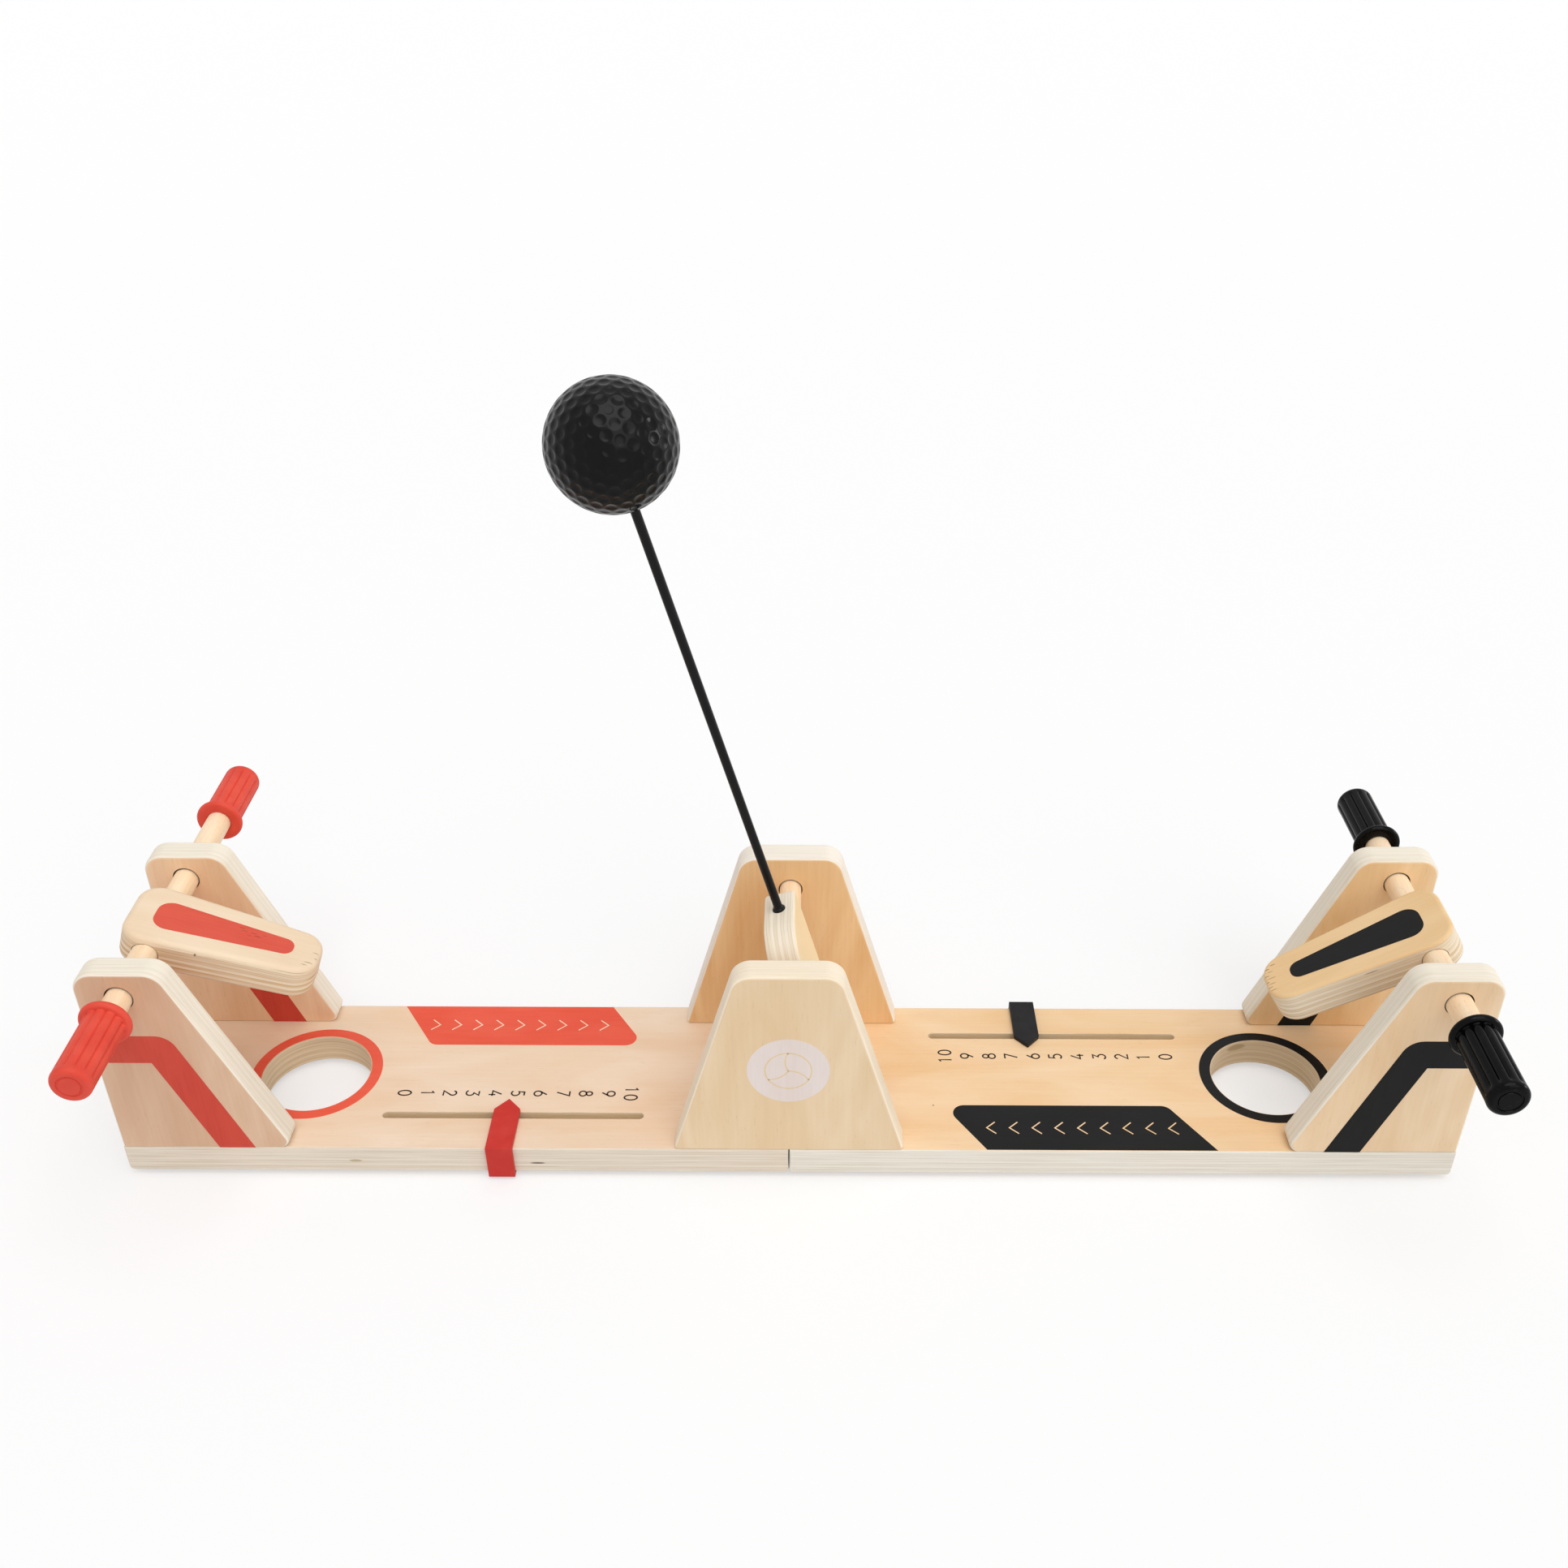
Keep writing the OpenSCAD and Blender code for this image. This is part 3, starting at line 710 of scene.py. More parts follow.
# How a screw's radius follows from its size and its rise from the head: each line is what it gives,
# the operation, and its terms.
SCREW_SUMS = [
    ("rise", "MULTIPLY_ADD", "Length", 0.5, "Z"),
    ("head edge", "MULTIPLY", "Head Diameter", 0.5),
    ("head", "SUBTRACT", "head edge", "rise"),
    ("angle", "ARCTAN2", "Y", "X"),
    ("turn", "DIVIDE", "angle", 2 * math.pi),
    ("pitches", "DIVIDE", "rise", "Pitch"),
    ("helix", "SUBTRACT", "pitches", "turn"),
    ("helix", "FRACT", "helix"),
    ("helix", "MULTIPLY_ADD", "helix", 2.0, -1.0),
    ("ridge", "ABSOLUTE", "helix"),
    ("plain part", "MULTIPLY", "Length", 0.35),
    ("threaded", "GREATER_THAN", "rise", "plain part"),
    ("groove", "MULTIPLY", "ridge", "Thread Depth"),
    ("groove", "MULTIPLY", "groove", "threaded"),
    ("shank", "MULTIPLY", "Shank Diameter", 0.5),
    ("shank", "SUBTRACT", "shank", "groove"),
    ("to the tip", "SUBTRACT", "Length", "rise"),
    ("tip", "MULTIPLY_ADD", "to the tip", 0.42, 0.2 * MM),
    ("shank", "MINIMUM", "shank", "tip"),
    ("radius", "MAXIMUM", "head", "shank"),
    ("cut X", "MULTIPLY", "X", "radius"),
    ("cut Y", "MULTIPLY", "Y", "radius"),
    ("bit depth", "MULTIPLY", "Recess Depth", 2.0),
]


def beech(name, centre, turn):
    """A turned and sanded beech dowel: fine straight grain along it, with the short darker flecks
    that beech shows."""
    place = {"centre": centre, "turn": turn}
    material, tree, shader = new_material(name, 0.5)
    cloud = grain(tree, place, (40, 3.2, 3.2), 2.0, (0.35, 0.65, 0.0, 0.65))
    fibre = grain(tree, place, (16, 0.5, 0.5), 2.0, (0.35, 0.7))
    fleck = grain(tree, place, (2.6, 0.4, 0.4), 1.0, (0.66, 0.74, 0.0, 0.3))
    tone = add(tree, "ShaderNodeMath", (fibre, 0.35, cloud), operation="MULTIPLY_ADD")
    wood = add(tree, "ShaderNodeMix", (tone, *BEECH), data_type="RGBA")
    wood = add(tree, "ShaderNodeMix", (fleck, wood, BEECH_FLECKS), data_type="RGBA")
    return finished(material, tree, shader, wood, fibre, 0.05 * MM, 0.2)


def clouded(name, roughness, shades, spots_mm, tooth_mm, depth, strength, detail=3.0, place=ORIGIN,
            **constants):
    """A material of two shades in soft spots of this size. Its relief is a finer tooth, or the
    spots themselves where it has none."""
    material, tree, shader = new_material(name, roughness, **constants)
    cloud = grain(tree, place, spots_mm, detail, (0.35, 0.7))
    tooth = grain(tree, place, (tooth_mm,) * 3) if tooth_mm else cloud
    colour = add(tree, "ShaderNodeMix", (cloud, *shades), data_type="RGBA")
    return finished(material, tree, shader, colour, tooth, depth, strength)


def node_group(name, *sizes):
    """An empty Geometry Nodes tree with a named input for each size, and its input sockets."""
    tree = bpy.data.node_groups.new(name, "GeometryNodeTree")
    tree.interface.new_socket("Geometry", in_out="OUTPUT", socket_type="NodeSocketGeometry")
    tree.interface.new_socket("Geometry", in_out="INPUT", socket_type="NodeSocketGeometry")
    for size in sizes:
        tree.interface.new_socket(size, in_out="INPUT", socket_type="NodeSocketFloat")
    return tree, {socket.name: socket for socket in add(tree, "NodeGroupInput").outputs}


def close_group(tree, geometry, material):
    """Ends a tree in real geometry with its material."""
    real = add(tree, "GeometryNodeRealizeInstances", (geometry,))
    dressed = add(tree, "GeometryNodeSetMaterial", {"Geometry": real, "Material": material})
    add(tree, "NodeGroupOutput", {"Geometry": dressed})


def grown(name, start, tree, sizes):
    """A new piece that a tree makes from a start mesh and the sizes given."""
    obj = new_piece(name, start)
    modifier = obj.modifiers.new(name, "NODES")
    modifier.node_group = tree
    for item in tree.interface.items_tree:
        if item.in_out == "INPUT" and item.name in sizes:
            modifier[item.identifier] = sizes[item.name]
    return applied(obj)


def loose_points(spots):
    """A mesh of loose points."""
    bm = bmesh.new()
    for spot in spots:
        bm.verts.new(spot)
    return bm


seam_beech = beech("beech seam dowels", (0, 0, 0), FLAT)
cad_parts["seam_dowels"].material_slots[0].material = seam_beech

# Bright zinc plating on steel: pale blue-grey metal, slightly cloudy, with fine turning marks.
zinc = clouded("zinc-plated steel", 0.32, ("#C9CDD2", "#A7ABB0"), (1.6, 1.6, 1.6), None,
               0.02 * MM, 0.3, Metallic=1.0)
screws, parts = node_group("wood screws", *SCREW_SIZES)
blank = add(screws, "GeometryNodeMeshCylinder", {
    "Vertices": 24, "Side Segments": 110, "Radius": 1.0, "Depth": parts["Length"],
}, fill_type="NGON")
spot = add(screws, "ShaderNodeSeparateXYZ", (add(screws, "GeometryNodeInputPosition"),))
parts.update({socket.name: socket for socket in spot.outputs})
for part, operation, *terms in SCREW_SUMS:
    parts[part] = add(screws, "ShaderNodeMath", [parts.get(term, term) for term in terms],
                      operation=operation)
cut_to = add(screws, "ShaderNodeCombineXYZ", (parts["cut X"], parts["cut Y"], parts["rise"]))
screw = add(screws, "GeometryNodeSetPosition", {"Geometry": blank, "Position": cut_to})
for along, across in (("Recess Length", "Recess Width"), ("Recess Width", "Recess Length")):
    bit_size = add(screws, "ShaderNodeCombineXYZ",
                   (parts[along], parts[across], parts["bit depth"]))
    bit = add(screws, "GeometryNodeMeshCube", {"Size": bit_size})
    screw = add(screws, "GeometryNodeMeshBoolean", (screw, bit), operation="DIFFERENCE",
                solver="EXACT")
on_points = add(screws, "GeometryNodeInstanceOnPoints",
                {"Points": parts["Geometry"], "Instance": screw})
close_group(screws, on_points, zinc)
for node, gaps in (("tower_screws", (0,)), ("bracket_screws", (0, BRACKET_SCREW_GAP))):
    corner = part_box(node)[1] - Vector((1, 1, 0)) * SCREW_SIZES["Head Diameter"] / 2
    spots = [(s * (corner.x - gap), t * corner.y, COURT_UNDER)
             for gap in gaps for s in (-1, 1) for t in (-1, 1)]
    screw_set = smoothed(grown(f"{node}_zinc", loose_points(spots), screws, SCREW_SIZES))
    fixed(screw_set, "court", "zinc_screw", node)

foot_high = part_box("rubber_feet")[1]
shapes = [circle((s * (foot_high.x - FOOT_RADIUS), t * FOOT_SIDE), FOOT_RADIUS, 64)
          for s in (-1, 1) for t in (-1, 1)]
strip = [(s * STRIP_HALF[0], t * STRIP_HALF[1]) for s, t in ((-1, -1), (1, -1), (1, 1), (-1, 1))]
bm = bmesh.new()
for shape in shapes + [rounded(strip, [1 * MM] * 4)]:
    sheet_mesh(bm, shape, [], foot_high.z / 2, FOOT_EASE)
bmesh.ops.translate(bm, vec=(0, 0, foot_high.z / 2), verts=bm.verts)
# Dense black rubber sheet, die-cut: matt, with a fine moulded tooth and pale scuffs.
rubber = clouded("die-cut rubber", 0.75, ("#1C1C1C", "#2B2B2A"), (9, 9, 9), 0.7, 0.1 * MM, 0.3)
feet = new_piece("court_feet", bm, [rubber] * 2)
fixed(smoothed(feet), "court", "foot_rubber", "rubber_feet")


# The two towers in the middle: tapered plates of 10.5 mm birch plywood, sawn to a template, sanded
# round along their edges and screwed down on either side of the seam. Each has a blind socket for
# the pivot dowel, and the front one carries a round pale print with a plain ball on it.
TOWER_EASE = 1.3 * MM
SOCKET_DEPTH = 7 * MM
BORE_PLAY = 0.3 * MM
DISC_HEIGHT = 40.4 * MM
DISC_RADIUS = 15.3 * MM
BALL_SIGN_RADIUS = 8.6 * MM
BALL_SIGN_PEN = 0.55 * MM
TOWER_PLIES = 8
# Both towers are the same plywood. The rear tower's deeper orange colours are painted warm shade on
# its inner face.
TOWER_COLOURS_AND_PAINTED_SHADE = {"front": ("#EED5B2", "#E3C499"), "rear": ("#F8D5A4", "#E6B57C")}
# The front tower's warmer edge colours are painted warm light bounced up from the court.
TOWER_EDGES_AND_PAINTED_BOUNCE = {"front": ("#F5E7D0", "#E6D4B6", 0.5), "rear": ("#F6EDE0", "#E8DBC7", 0.5)}
# Drilled birch is pale. This dark brown is painted shade inside the sockets and bores and in the
# gaps round the dowel and the rod.
DEEP_HOLES_PAINTED_SHADE = ("#A98459", "#7A5836", 1.0, "#5B3F26")
DISC_INK = ("#E9DDD8", "#E4D5CC")
DISC_LINE_INK = ("#E8D2AC", "#E2C89C")


def standing_share(point):
    """The edges that stand on the court are sanded less."""
    return max(0.5, min(1.0, 0.5 + (point.z - COURT_TOP) / (3 * MM)))


for side in ("front", "rear"):
    place = board_place(f"tower_{side}", (0, 0, 1))
    woods = board_woods(f"{side} tower", place, TOWER_PLIES, TOWER_COLOURS_AND_PAINTED_SHADE[side], TOWER_EDGES_AND_PAINTED_BOUNCE[side],
                        DEEP_HOLES_PAINTED_SHADE)
    tower = plywood(f"{side}_tower", place, woods, TOWER_EASE, standing_share, play=BORE_PLAY,
                    depth=SOCKET_DEPTH)
    fixed(tower, "court", "tower_plywood", f"tower_{side}")
    if side == "front":
        middle = Vector((0, 0, COURT_TOP + DISC_HEIGHT)) - place["centre"]
        centre = (place["axes"] @ middle).to_2d()
        disc_ink = screen_ink("pale disc ink", place, *DISC_INK)
        printed("tower_disc", place, disc_ink, "tower_plywood",
                [(-1, [circle(centre, DISC_RADIUS)])])
        lines = [(-1, circle(centre, BALL_SIGN_RADIUS, 72), True)]
        seam = sweep(-BALL_SIGN_RADIUS, 0, BALL_SIGN_RADIUS, BALL_SIGN_RADIUS, 0, 60)
        for k in range(3):
            bend = Matrix.Rotation(2 * math.pi * k / 3, 2)
            lines.append((-1, [centre + bend @ Vector(p) for p in seam], False))
        ball_ink = screen_ink("disc line ink", place, *DISC_LINE_INK)
        printed("tower_disc_ball", place, ball_ink, "tower_plywood", [], lines, BALL_SIGN_PEN,
                SECOND_COAT)


# The four brackets that carry the handles: slanted plates of the same 10.5 mm plywood, screwed down
# flush with the ends of the court and drilled through for the handle. A bent stripe is printed on
# both faces of each, in the colour of its player.
BRACKET_EASE = 1.3 * MM
HANDLE_PLAY = 0.22 * MM
HANDLE_LIFT = 0.17 * MM
STRIPE = [(0.95, 43), (0.95, 56), (29.3, 56), (50.7, 0.1), (37.0, 0.1), (20.6, 43)]
STRIPE_CORNERS = [0, 0, 7.5, 0, 0, 0]
# Each end's brackets are one plywood. The left front one is darkened with painted shade. The rear
# ones are warmer and lighter with painted warm light on their inner faces.
BRACKET_COLOURS_AND_PAINTED_LIGHT = {
    "left_front": ("#E0BE9F", "#D0A382"), "left_rear": ("#FAD8B4", "#E6B88C"),
    "right_front": ("#F3D8B4", "#E6C296"), "right_rear": ("#FAD9AA", "#EBBE85"),
}
BRACKET_EDGE = ("#F1E8D8", "#DCCEB4", 0.65)
# Drilled birch is pale. This near-black brown is painted shade in the holes and in the gap round
# each handle dowel.
HANDLE_HOLES_PAINTED_SHADE = ("#5E442B", "#422E1C", 1.0, "#2C1E12")
STRIPE_INKS = {"left": ("#D4503F", "#C84435"), "right": ("#0F0F0F", "#151515")}
for end, way in WAYS.items():
    for side in ("front", "rear"):
        place = board_place(f"bracket_{end}_{side}", (0, 0, 1))
        label = f"{end} {side} bracket"
        woods = board_woods(label, place, TOWER_PLIES, BRACKET_COLOURS_AND_PAINTED_LIGHT[f"{end}_{side}"],
                            BRACKET_EDGE, HANDLE_HOLES_PAINTED_SHADE)
        bracket = plywood(f"{end}_{side}_bracket", place, woods, BRACKET_EASE, standing_share,
                          play=HANDLE_PLAY, lift=HANDLE_LIFT)
        fixed(bracket, "court", PLYWOOD_SLOTS[end], f"bracket_{end}_{side}")
        corners = []
        for inward, up in STRIPE:
            x, z = way * (COURT_END - inward * MM), COURT_TOP + up * MM
            corner = Vector((x, place["centre"].y, z)) - place["centre"]
            corners.append((place["axes"] @ corner).to_2d())
        stripe = rounded(corners, [r * MM for r in STRIPE_CORNERS])
        ink = screen_ink(f"{label} screen ink", place, *STRIPE_INKS[end])
        printed(f"{end}_{side}_stripe", place, ink, INK_SLOTS[end], [(1, [stripe]), (-1, [stripe])])


# The swing block and its pivot: a plate of 12 mm plywood glued across a beech dowel, whose
# ends turn in the towers' sockets. The rod of the ball is glued into the block's top edge.
BLOCK_EASE = 1.3 * MM
BLOCK_RISE = 14.3 * MM
ROD_SEAT = 6.3 * MM
ROD_RADIUS = 1.65 * MM
ROD_PLAY = 0.1 * MM
DOWEL_CHAMFER = 0.6 * MM
DOWEL_RINGS = 12
BLOCK_COLOURS = ("#FBE3B8", "#F3D4A0")
BLOCK_EDGE = ("#F4E8D5", "#D9C6A7")
pivot = sum(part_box("pivot_axle"), Vector()) / 2
ball_centre = sum(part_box("ball"), Vector()) / 2
arm_way = (ball_centre - pivot).normalized()
arm_turn = arm_way.to_track_quat("Z", "Y").to_matrix()


def round_at(centre, way, radius, count=64):
    """A circle of points in space, round its axis."""
    turn = Vector(way).to_track_quat("Z", "Y").to_matrix()
    return [Vector(centre) + turn @ Vector((*p, 0)) for p in circle((0, 0), radius, count)]


def turned(name, materials, start, end, profile, count=72):
    """A solid of revolution from start towards end: each step is a radius and how far along."""
    bm = bmesh.new()
    way = (Vector(end) - Vector(start)).normalized()
    rings = []
    for radius, along in profile:
        middle = Vector(start) + way * along
        spots = round_at(middle, way, radius, count) if radius else [middle]
        rings.append([bm.verts.new(p) for p in spots])
    for lower, upper in zip(rings, rings[1:]):
        if len(lower) > 1 and len(upper) > 1:
            band(bm, lower, upper, 0)
            continue
        pole, ring = (lower[0], upper) if len(lower) == 1 else (upper[0], lower)
        for a, b in zip(ring, ring[1:] + ring[:1]):
            bm.faces.new((pole, a, b))
    return new_piece(name, bm, materials)


def dowel(name, material, node):
    """A round wooden bar along Y with sanded ends, in the place of its CAD node."""
    low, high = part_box(node)
    length = high.y - low.y
    radius = (high.z - low.z) / 2
    middle = (low + high) / 2
    steps = [(0, 0), (radius - DOWEL_CHAMFER, 0), (radius, DOWEL_CHAMFER)]
    steps += [(radius, length * k / DOWEL_RINGS) for k in range(1, DOWEL_RINGS)]
    steps += [(radius, length - DOWEL_CHAMFER), (radius - DOWEL_CHAMFER, length), (0, length)]
    start = (middle.x, low.y, middle.z)
    end = (middle.x, high.y, middle.z)
    return smoothed(turned(name, [material], start, end, steps), 30), middle, radius


ALONG_Y = Matrix.Rotation(math.pi / 2, 3, "Z").to_euler()
axle_beech = beech("pivot dowel beech", pivot, ALONG_Y)
axle, _, axle_radius = dowel("pivot_dowel", axle_beech, "pivot_axle")
fixed(axle, "swing_arm", "beech_dowel", "pivot_axle")

place = board_place("swing_block", (0, 0, 1))
woods = board_woods("swing block", place, COURT_PLIES, BLOCK_COLOURS, BLOCK_EDGE, DEEP_HOLES_PAINTED_SHADE)
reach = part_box("swing_block")[1].y + 2 * MM
axle_bore = round_at((pivot.x, -reach, pivot.z), (0, 1, 0), axle_radius + BORE_PLAY)
rod_bore = round_at(pivot + arm_way * ROD_SEAT, arm_way, ROD_RADIUS + ROD_PLAY, 48)
bores = [(axle_bore, (0, 2 * reach, 0)), (rod_bore, arm_way * BLOCK_RISE)]
block = plywood("swing_plate", place, woods, BLOCK_EASE, cutters=bores)
fixed(block, "swing_arm", "pale_plywood", "swing_block")


# The rod and the ball: a 3.3 mm steel rod painted satin black, glued into the block with a small
# bead of dark glue, and a golf-size ball of moulded black rubber pushed onto its tip. The ball has
# 312 dimples in the usual pattern on an icosahedron.
GLUE_BEAD = [(2.45, -0.35), (2.5, 0.25), (2.25, 0.7), (1.85, 1.2), (1.65, 2.0)]
GLUE_UNDER_ROD = 0.3 * MM
ROD_IN_BALL = 15 * MM
ROD_RINGS = 24
EVENING_STEPS = 60
EVENING_REACH = 0.3
ball_radius = (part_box("ball")[1].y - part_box("ball")[0].y) / 2
BALL_SIZES = {"Ball Radius": ball_radius, "Dimple Diameter": 3.8 * MM, "Dimple Depth": 0.34 * MM}
# How deep the mould presses a dimple, from the distance to its middle.
DIMPLE_SUMS = [
    ("half", "MULTIPLY", "Dimple Diameter", 0.5),
    ("reach", "DIVIDE", "Distance", "half"),
    ("reach", "POWER", "reach", 2.4),
    ("bowl", "SUBTRACT", 1.0, "reach"),
    ("bowl", "MAXIMUM", "bowl", 0.0),
    ("sunk", "MULTIPLY", "bowl", "Dimple Depth"),
    ("sunk", "MULTIPLY", "sunk", -1.0),
]


def black_rubber(name, roughness, shine, bloom=0.0):
    """Moulded black rubber: nearly black, a low soft gloss, a fine tooth from the mould, and where
    hands hold it a faint grey bloom."""
    material, tree, shader = new_material(name, roughness, Specular_IOR_Level=shine)
    cloud = grain(tree, ORIGIN, (8, 8, 8), 3.0, (0.35, 0.7))
    colour = add(tree, "ShaderNodeMix", (cloud, "#020202", "#070707"), data_type="RGBA")
    dust = grain(tree, ORIGIN, (0.9, 0.9, 0.9), 2.0, (0.62, 0.74, 0.0, bloom))
    colour = add(tree, "ShaderNodeMix", (dust, colour, "#6A6A68"), data_type="RGBA")
    rough = add(tree, "ShaderNodeMapRange", (cloud, 0.0, 1.0, roughness - 0.05, roughness + 0.08))
    feed(tree, shader.inputs["Roughness"], rough)
    tooth = grain(tree, ORIGIN, (0.45, 0.45, 0.45))
    return finished(material, tree, shader, colour, tooth, 0.08 * MM, 0.03)


def dimple_spots():
    """312 directions: a twisted grid of points on each side of an icosahedron, then evened out."""
    golden = (1 + 5 ** 0.5) / 2
    corners = []
    for a in (-1, 1):
        for b in (-golden, golden):
            corners += [(0, a, b), (a, b, 0), (b, 0, a)]
    corners = [np.array(c) / np.linalg.norm(c) for c in corners]
    near = min(np.linalg.norm(corners[0] - c) for c in corners[1:]) * 1.01
    sixth = complex(0.5, math.sqrt(3) / 2)
    second = 5 + sixth
    third = second * sixth
    whole = (second * third.conjugate()).imag
    spots = list(corners)
    for i, j, k in itertools.permutations(range(12), 3):
        a, b, c = corners[i], corners[j], corners[k]
        sides = [np.linalg.norm(p - q) for p, q in ((a, b), (b, c), (c, a))]
        if i > min(j, k) or max(sides) > near or np.dot(np.cross(a, b), c) < 0:
            continue
        for u, v in itertools.product(range(-6, 7), range(-6, 12)):
            z = u + v * sixth
            share_b = (z * third.conjugate()).imag / whole
            share_c = -(z * second.conjugate()).imag / whole
            share_a = 1 - share_b - share_c
            if min(share_a, share_b, share_c) > 0.001:
                spot = a * share_a + b * share_b + c * share_c
                spots.append(spot / np.linalg.norm(spot))
    spots = np.array(spots)
    for _ in range(EVENING_STEPS):
        gaps = spots[:, None] - spots[None]
        reach = np.linalg.norm(gaps, axis=2)
        np.fill_diagonal(reach, 9)
        push = np.maximum(0, EVENING_REACH - reach) ** 2 / reach
        spots = spots + (gaps * push[..., None]).sum(axis=1)
        spots /= np.linalg.norm(spots, axis=1)[:, None]
    return spots


rod_foot = ROD_SEAT + GLUE_UNDER_ROD
rod_top = (ball_centre - pivot).length - ball_radius + ROD_IN_BALL
steps = [(0, rod_foot), (ROD_RADIUS, rod_foot), (ROD_RADIUS, BLOCK_RISE - 0.4 * MM)]
steps += [(wide * MM, BLOCK_RISE + high * MM) for wide, high in GLUE_BEAD]
steps += [(ROD_RADIUS, BLOCK_RISE + (rod_top - BLOCK_RISE) * k / ROD_RINGS)
          for k in range(1, ROD_RINGS + 1)]
# Satin black paint on a steel rod: even, slightly drawn out along the rod.
rod_place = {"centre": pivot, "turn": arm_turn.to_euler()}
paint = clouded("satin black paint", 0.3, ("#070707", "#101010"), (0.6, 0.6, 22), None,
                0.03 * MM, 0.12, 2.0, rod_place, Specular_IOR_Level=0.18)
painted_rod = turned("painted_rod", [paint], pivot, ball_centre, steps + [(0, rod_top)], 32)
fixed(smoothed(painted_rod, 50), "swing_arm", "black_rod", "ball_rod")

moulding, parts = node_group("dimpled ball", *BALL_SIZES)
sphere = add(moulding, "GeometryNodeMeshIcoSphere", (parts["Ball Radius"], 7))
near = add(moulding, "GeometryNodeProximity", (parts["Geometry"],), target_element="POINTS")
parts["Distance"] = near.outputs["Distance"]
for part, operation, *terms in DIMPLE_SUMS:
    parts[part] = add(moulding, "ShaderNodeMath", [parts.get(term, term) for term in terms],
                      operation=operation)
outward = add(moulding, "GeometryNodeInputNormal")
inward = add(moulding, "ShaderNodeVectorMath", (outward, parts["sunk"]), operation="SCALE")
dimpled = add(moulding, "GeometryNodeSetPosition", {"Geometry": sphere, "Offset": inward})
close_group(moulding, dimpled, black_rubber("satin black ball rubber", 0.22, 0.15))
spots = [Vector(s) * ball_radius for s in dimple_spots()]
ball = grown("dimpled_ball", loose_points(spots), moulding, BALL_SIZES)
ball.data.transform(Matrix.Translation(ball_centre) @ arm_turn.to_4x4())
ball.data.shade_smooth()
fixed(ball, "swing_arm", "black_ball", "ball")


# The handles: a beech dowel through both brackets of each end, with a ribbed rubber grip pushed on
# either tip. A grip is a moulded sleeve with a round flange towards the court and a domed end.
GRIP_LENGTH = 34 * MM
GRIP_RADIUS = 7.3 * MM
GRIP_END_ROUND = 2.0 * MM
FLANGE_RADIUS = 9.3 * MM
FLANGE_THICK = 3.1 * MM
SOCKET_RADIUS = 4.8 * MM
SOCKET_LENGTH = 27 * MM
SOCKET_CHAMFER = 0.4 * MM
END_MARK = [(4.6, 0), (4.4, -0.35), (3.9, -0.35), (3.7, 0), (0, 0)]
SLEEVE_RINGS = 44
GRIP_SIZES = {
    "Ribs": 12.0, "Groove Depth": 0.75 * MM, "Body Radius": GRIP_RADIUS, "Groove Start": 2.7 * MM,
    "Groove End": 31.4 * MM,
}
PADDLE_SLOPES = {"left": math.radians(19.3), "right": math.radians(31)}
# How far a groove is pressed into the sleeve's side, which leaves its flange, its socket and its
# end as they are.
RIB_SUMS = [
    ("angle", "ARCTAN2", "Y", "X"),
    ("turn", "DIVIDE", "angle", 2 * math.pi),
    ("turn", "MULTIPLY", "turn", "Ribs"),
    ("turn", "FRACT", "turn"),
    ("side", "MULTIPLY_ADD", "turn", 2.0, -1.0),
    ("side", "ABSOLUTE", "side"),
    ("side", "POWER", "side", 3.0),
    ("press", "MULTIPLY", "side", "Groove Depth"),
    ("square", "MULTIPLY", "X", "X"),
    ("square", "MULTIPLY_ADD", "Y", "Y", "square"),
    ("radius", "SQRT", "square"),
    ("proud", "SUBTRACT", "radius", "Body Radius"),
    ("outside", "GREATER_THAN", "proud", -1.2 * MM),
    ("off the flange", "LESS_THAN", "proud", 0.2 * MM),
    ("past the start", "GREATER_THAN", "Z", "Groove Start"),
    ("fade", "SUBTRACT", "Groove End", "Z"),
    ("fade", "DIVIDE", "fade", 2.2 * MM),
    ("fade", "MINIMUM", "fade", 1.0),
    ("fade", "MAXIMUM", "fade", 0.0),
    ("fade", "POWER", "fade", 0.6),
    ("press", "MULTIPLY", "press", "outside"),
    ("press", "MULTIPLY", "press", "off the flange"),
    ("press", "MULTIPLY", "press", "past the start"),
    ("press", "MULTIPLY", "press", "fade"),
    ("share", "DIVIDE", "press", "radius"),
    ("shrink", "SUBTRACT", 1.0, "share"),
    ("pressed X", "MULTIPLY", "X", "shrink"),
    ("pressed Y", "MULTIPLY", "Y", "shrink"),
]


def grip_blank():
    """The smooth sleeve before it has grooves, along Z: its socket, flange, side and end."""
    rim = FLANGE_THICK / 2
    profile = [
        (0, SOCKET_LENGTH), (SOCKET_RADIUS, SOCKET_LENGTH), (SOCKET_RADIUS, SOCKET_CHAMFER),
        (SOCKET_RADIUS + SOCKET_CHAMFER, 0),
    ]
    for k in range(13):
        a = math.radians(-90 + 15 * k)
        profile.append((FLANGE_RADIUS - rim + rim * math.cos(a), rim + rim * math.sin(a)))
    profile.append((GRIP_RADIUS + 0.35 * MM, FLANGE_THICK))
    profile.append((GRIP_RADIUS + 0.08 * MM, FLANGE_THICK + 0.12 * MM))
    start = FLANGE_THICK + 0.4 * MM
    stop = GRIP_LENGTH - GRIP_END_ROUND
    profile += [(GRIP_RADIUS, start + (stop - start) * k / SLEEVE_RINGS)
                for k in range(SLEEVE_RINGS + 1)]
    for k in range(1, 7):
        a = math.radians(15 * k)
        profile.append((GRIP_RADIUS - GRIP_END_ROUND * (1 - math.cos(a)),
                        stop + GRIP_END_ROUND * math.sin(a)))
    profile += [(wide * MM, GRIP_LENGTH + up * MM) for wide, up in END_MARK]
    blank = turned("grip", [], (0, 0, 0), (0, 0, 1), profile, 144)
    bm = bmesh.new()
    bm.from_mesh(blank.data)
    bpy.data.objects.remove(blank)
    return bm


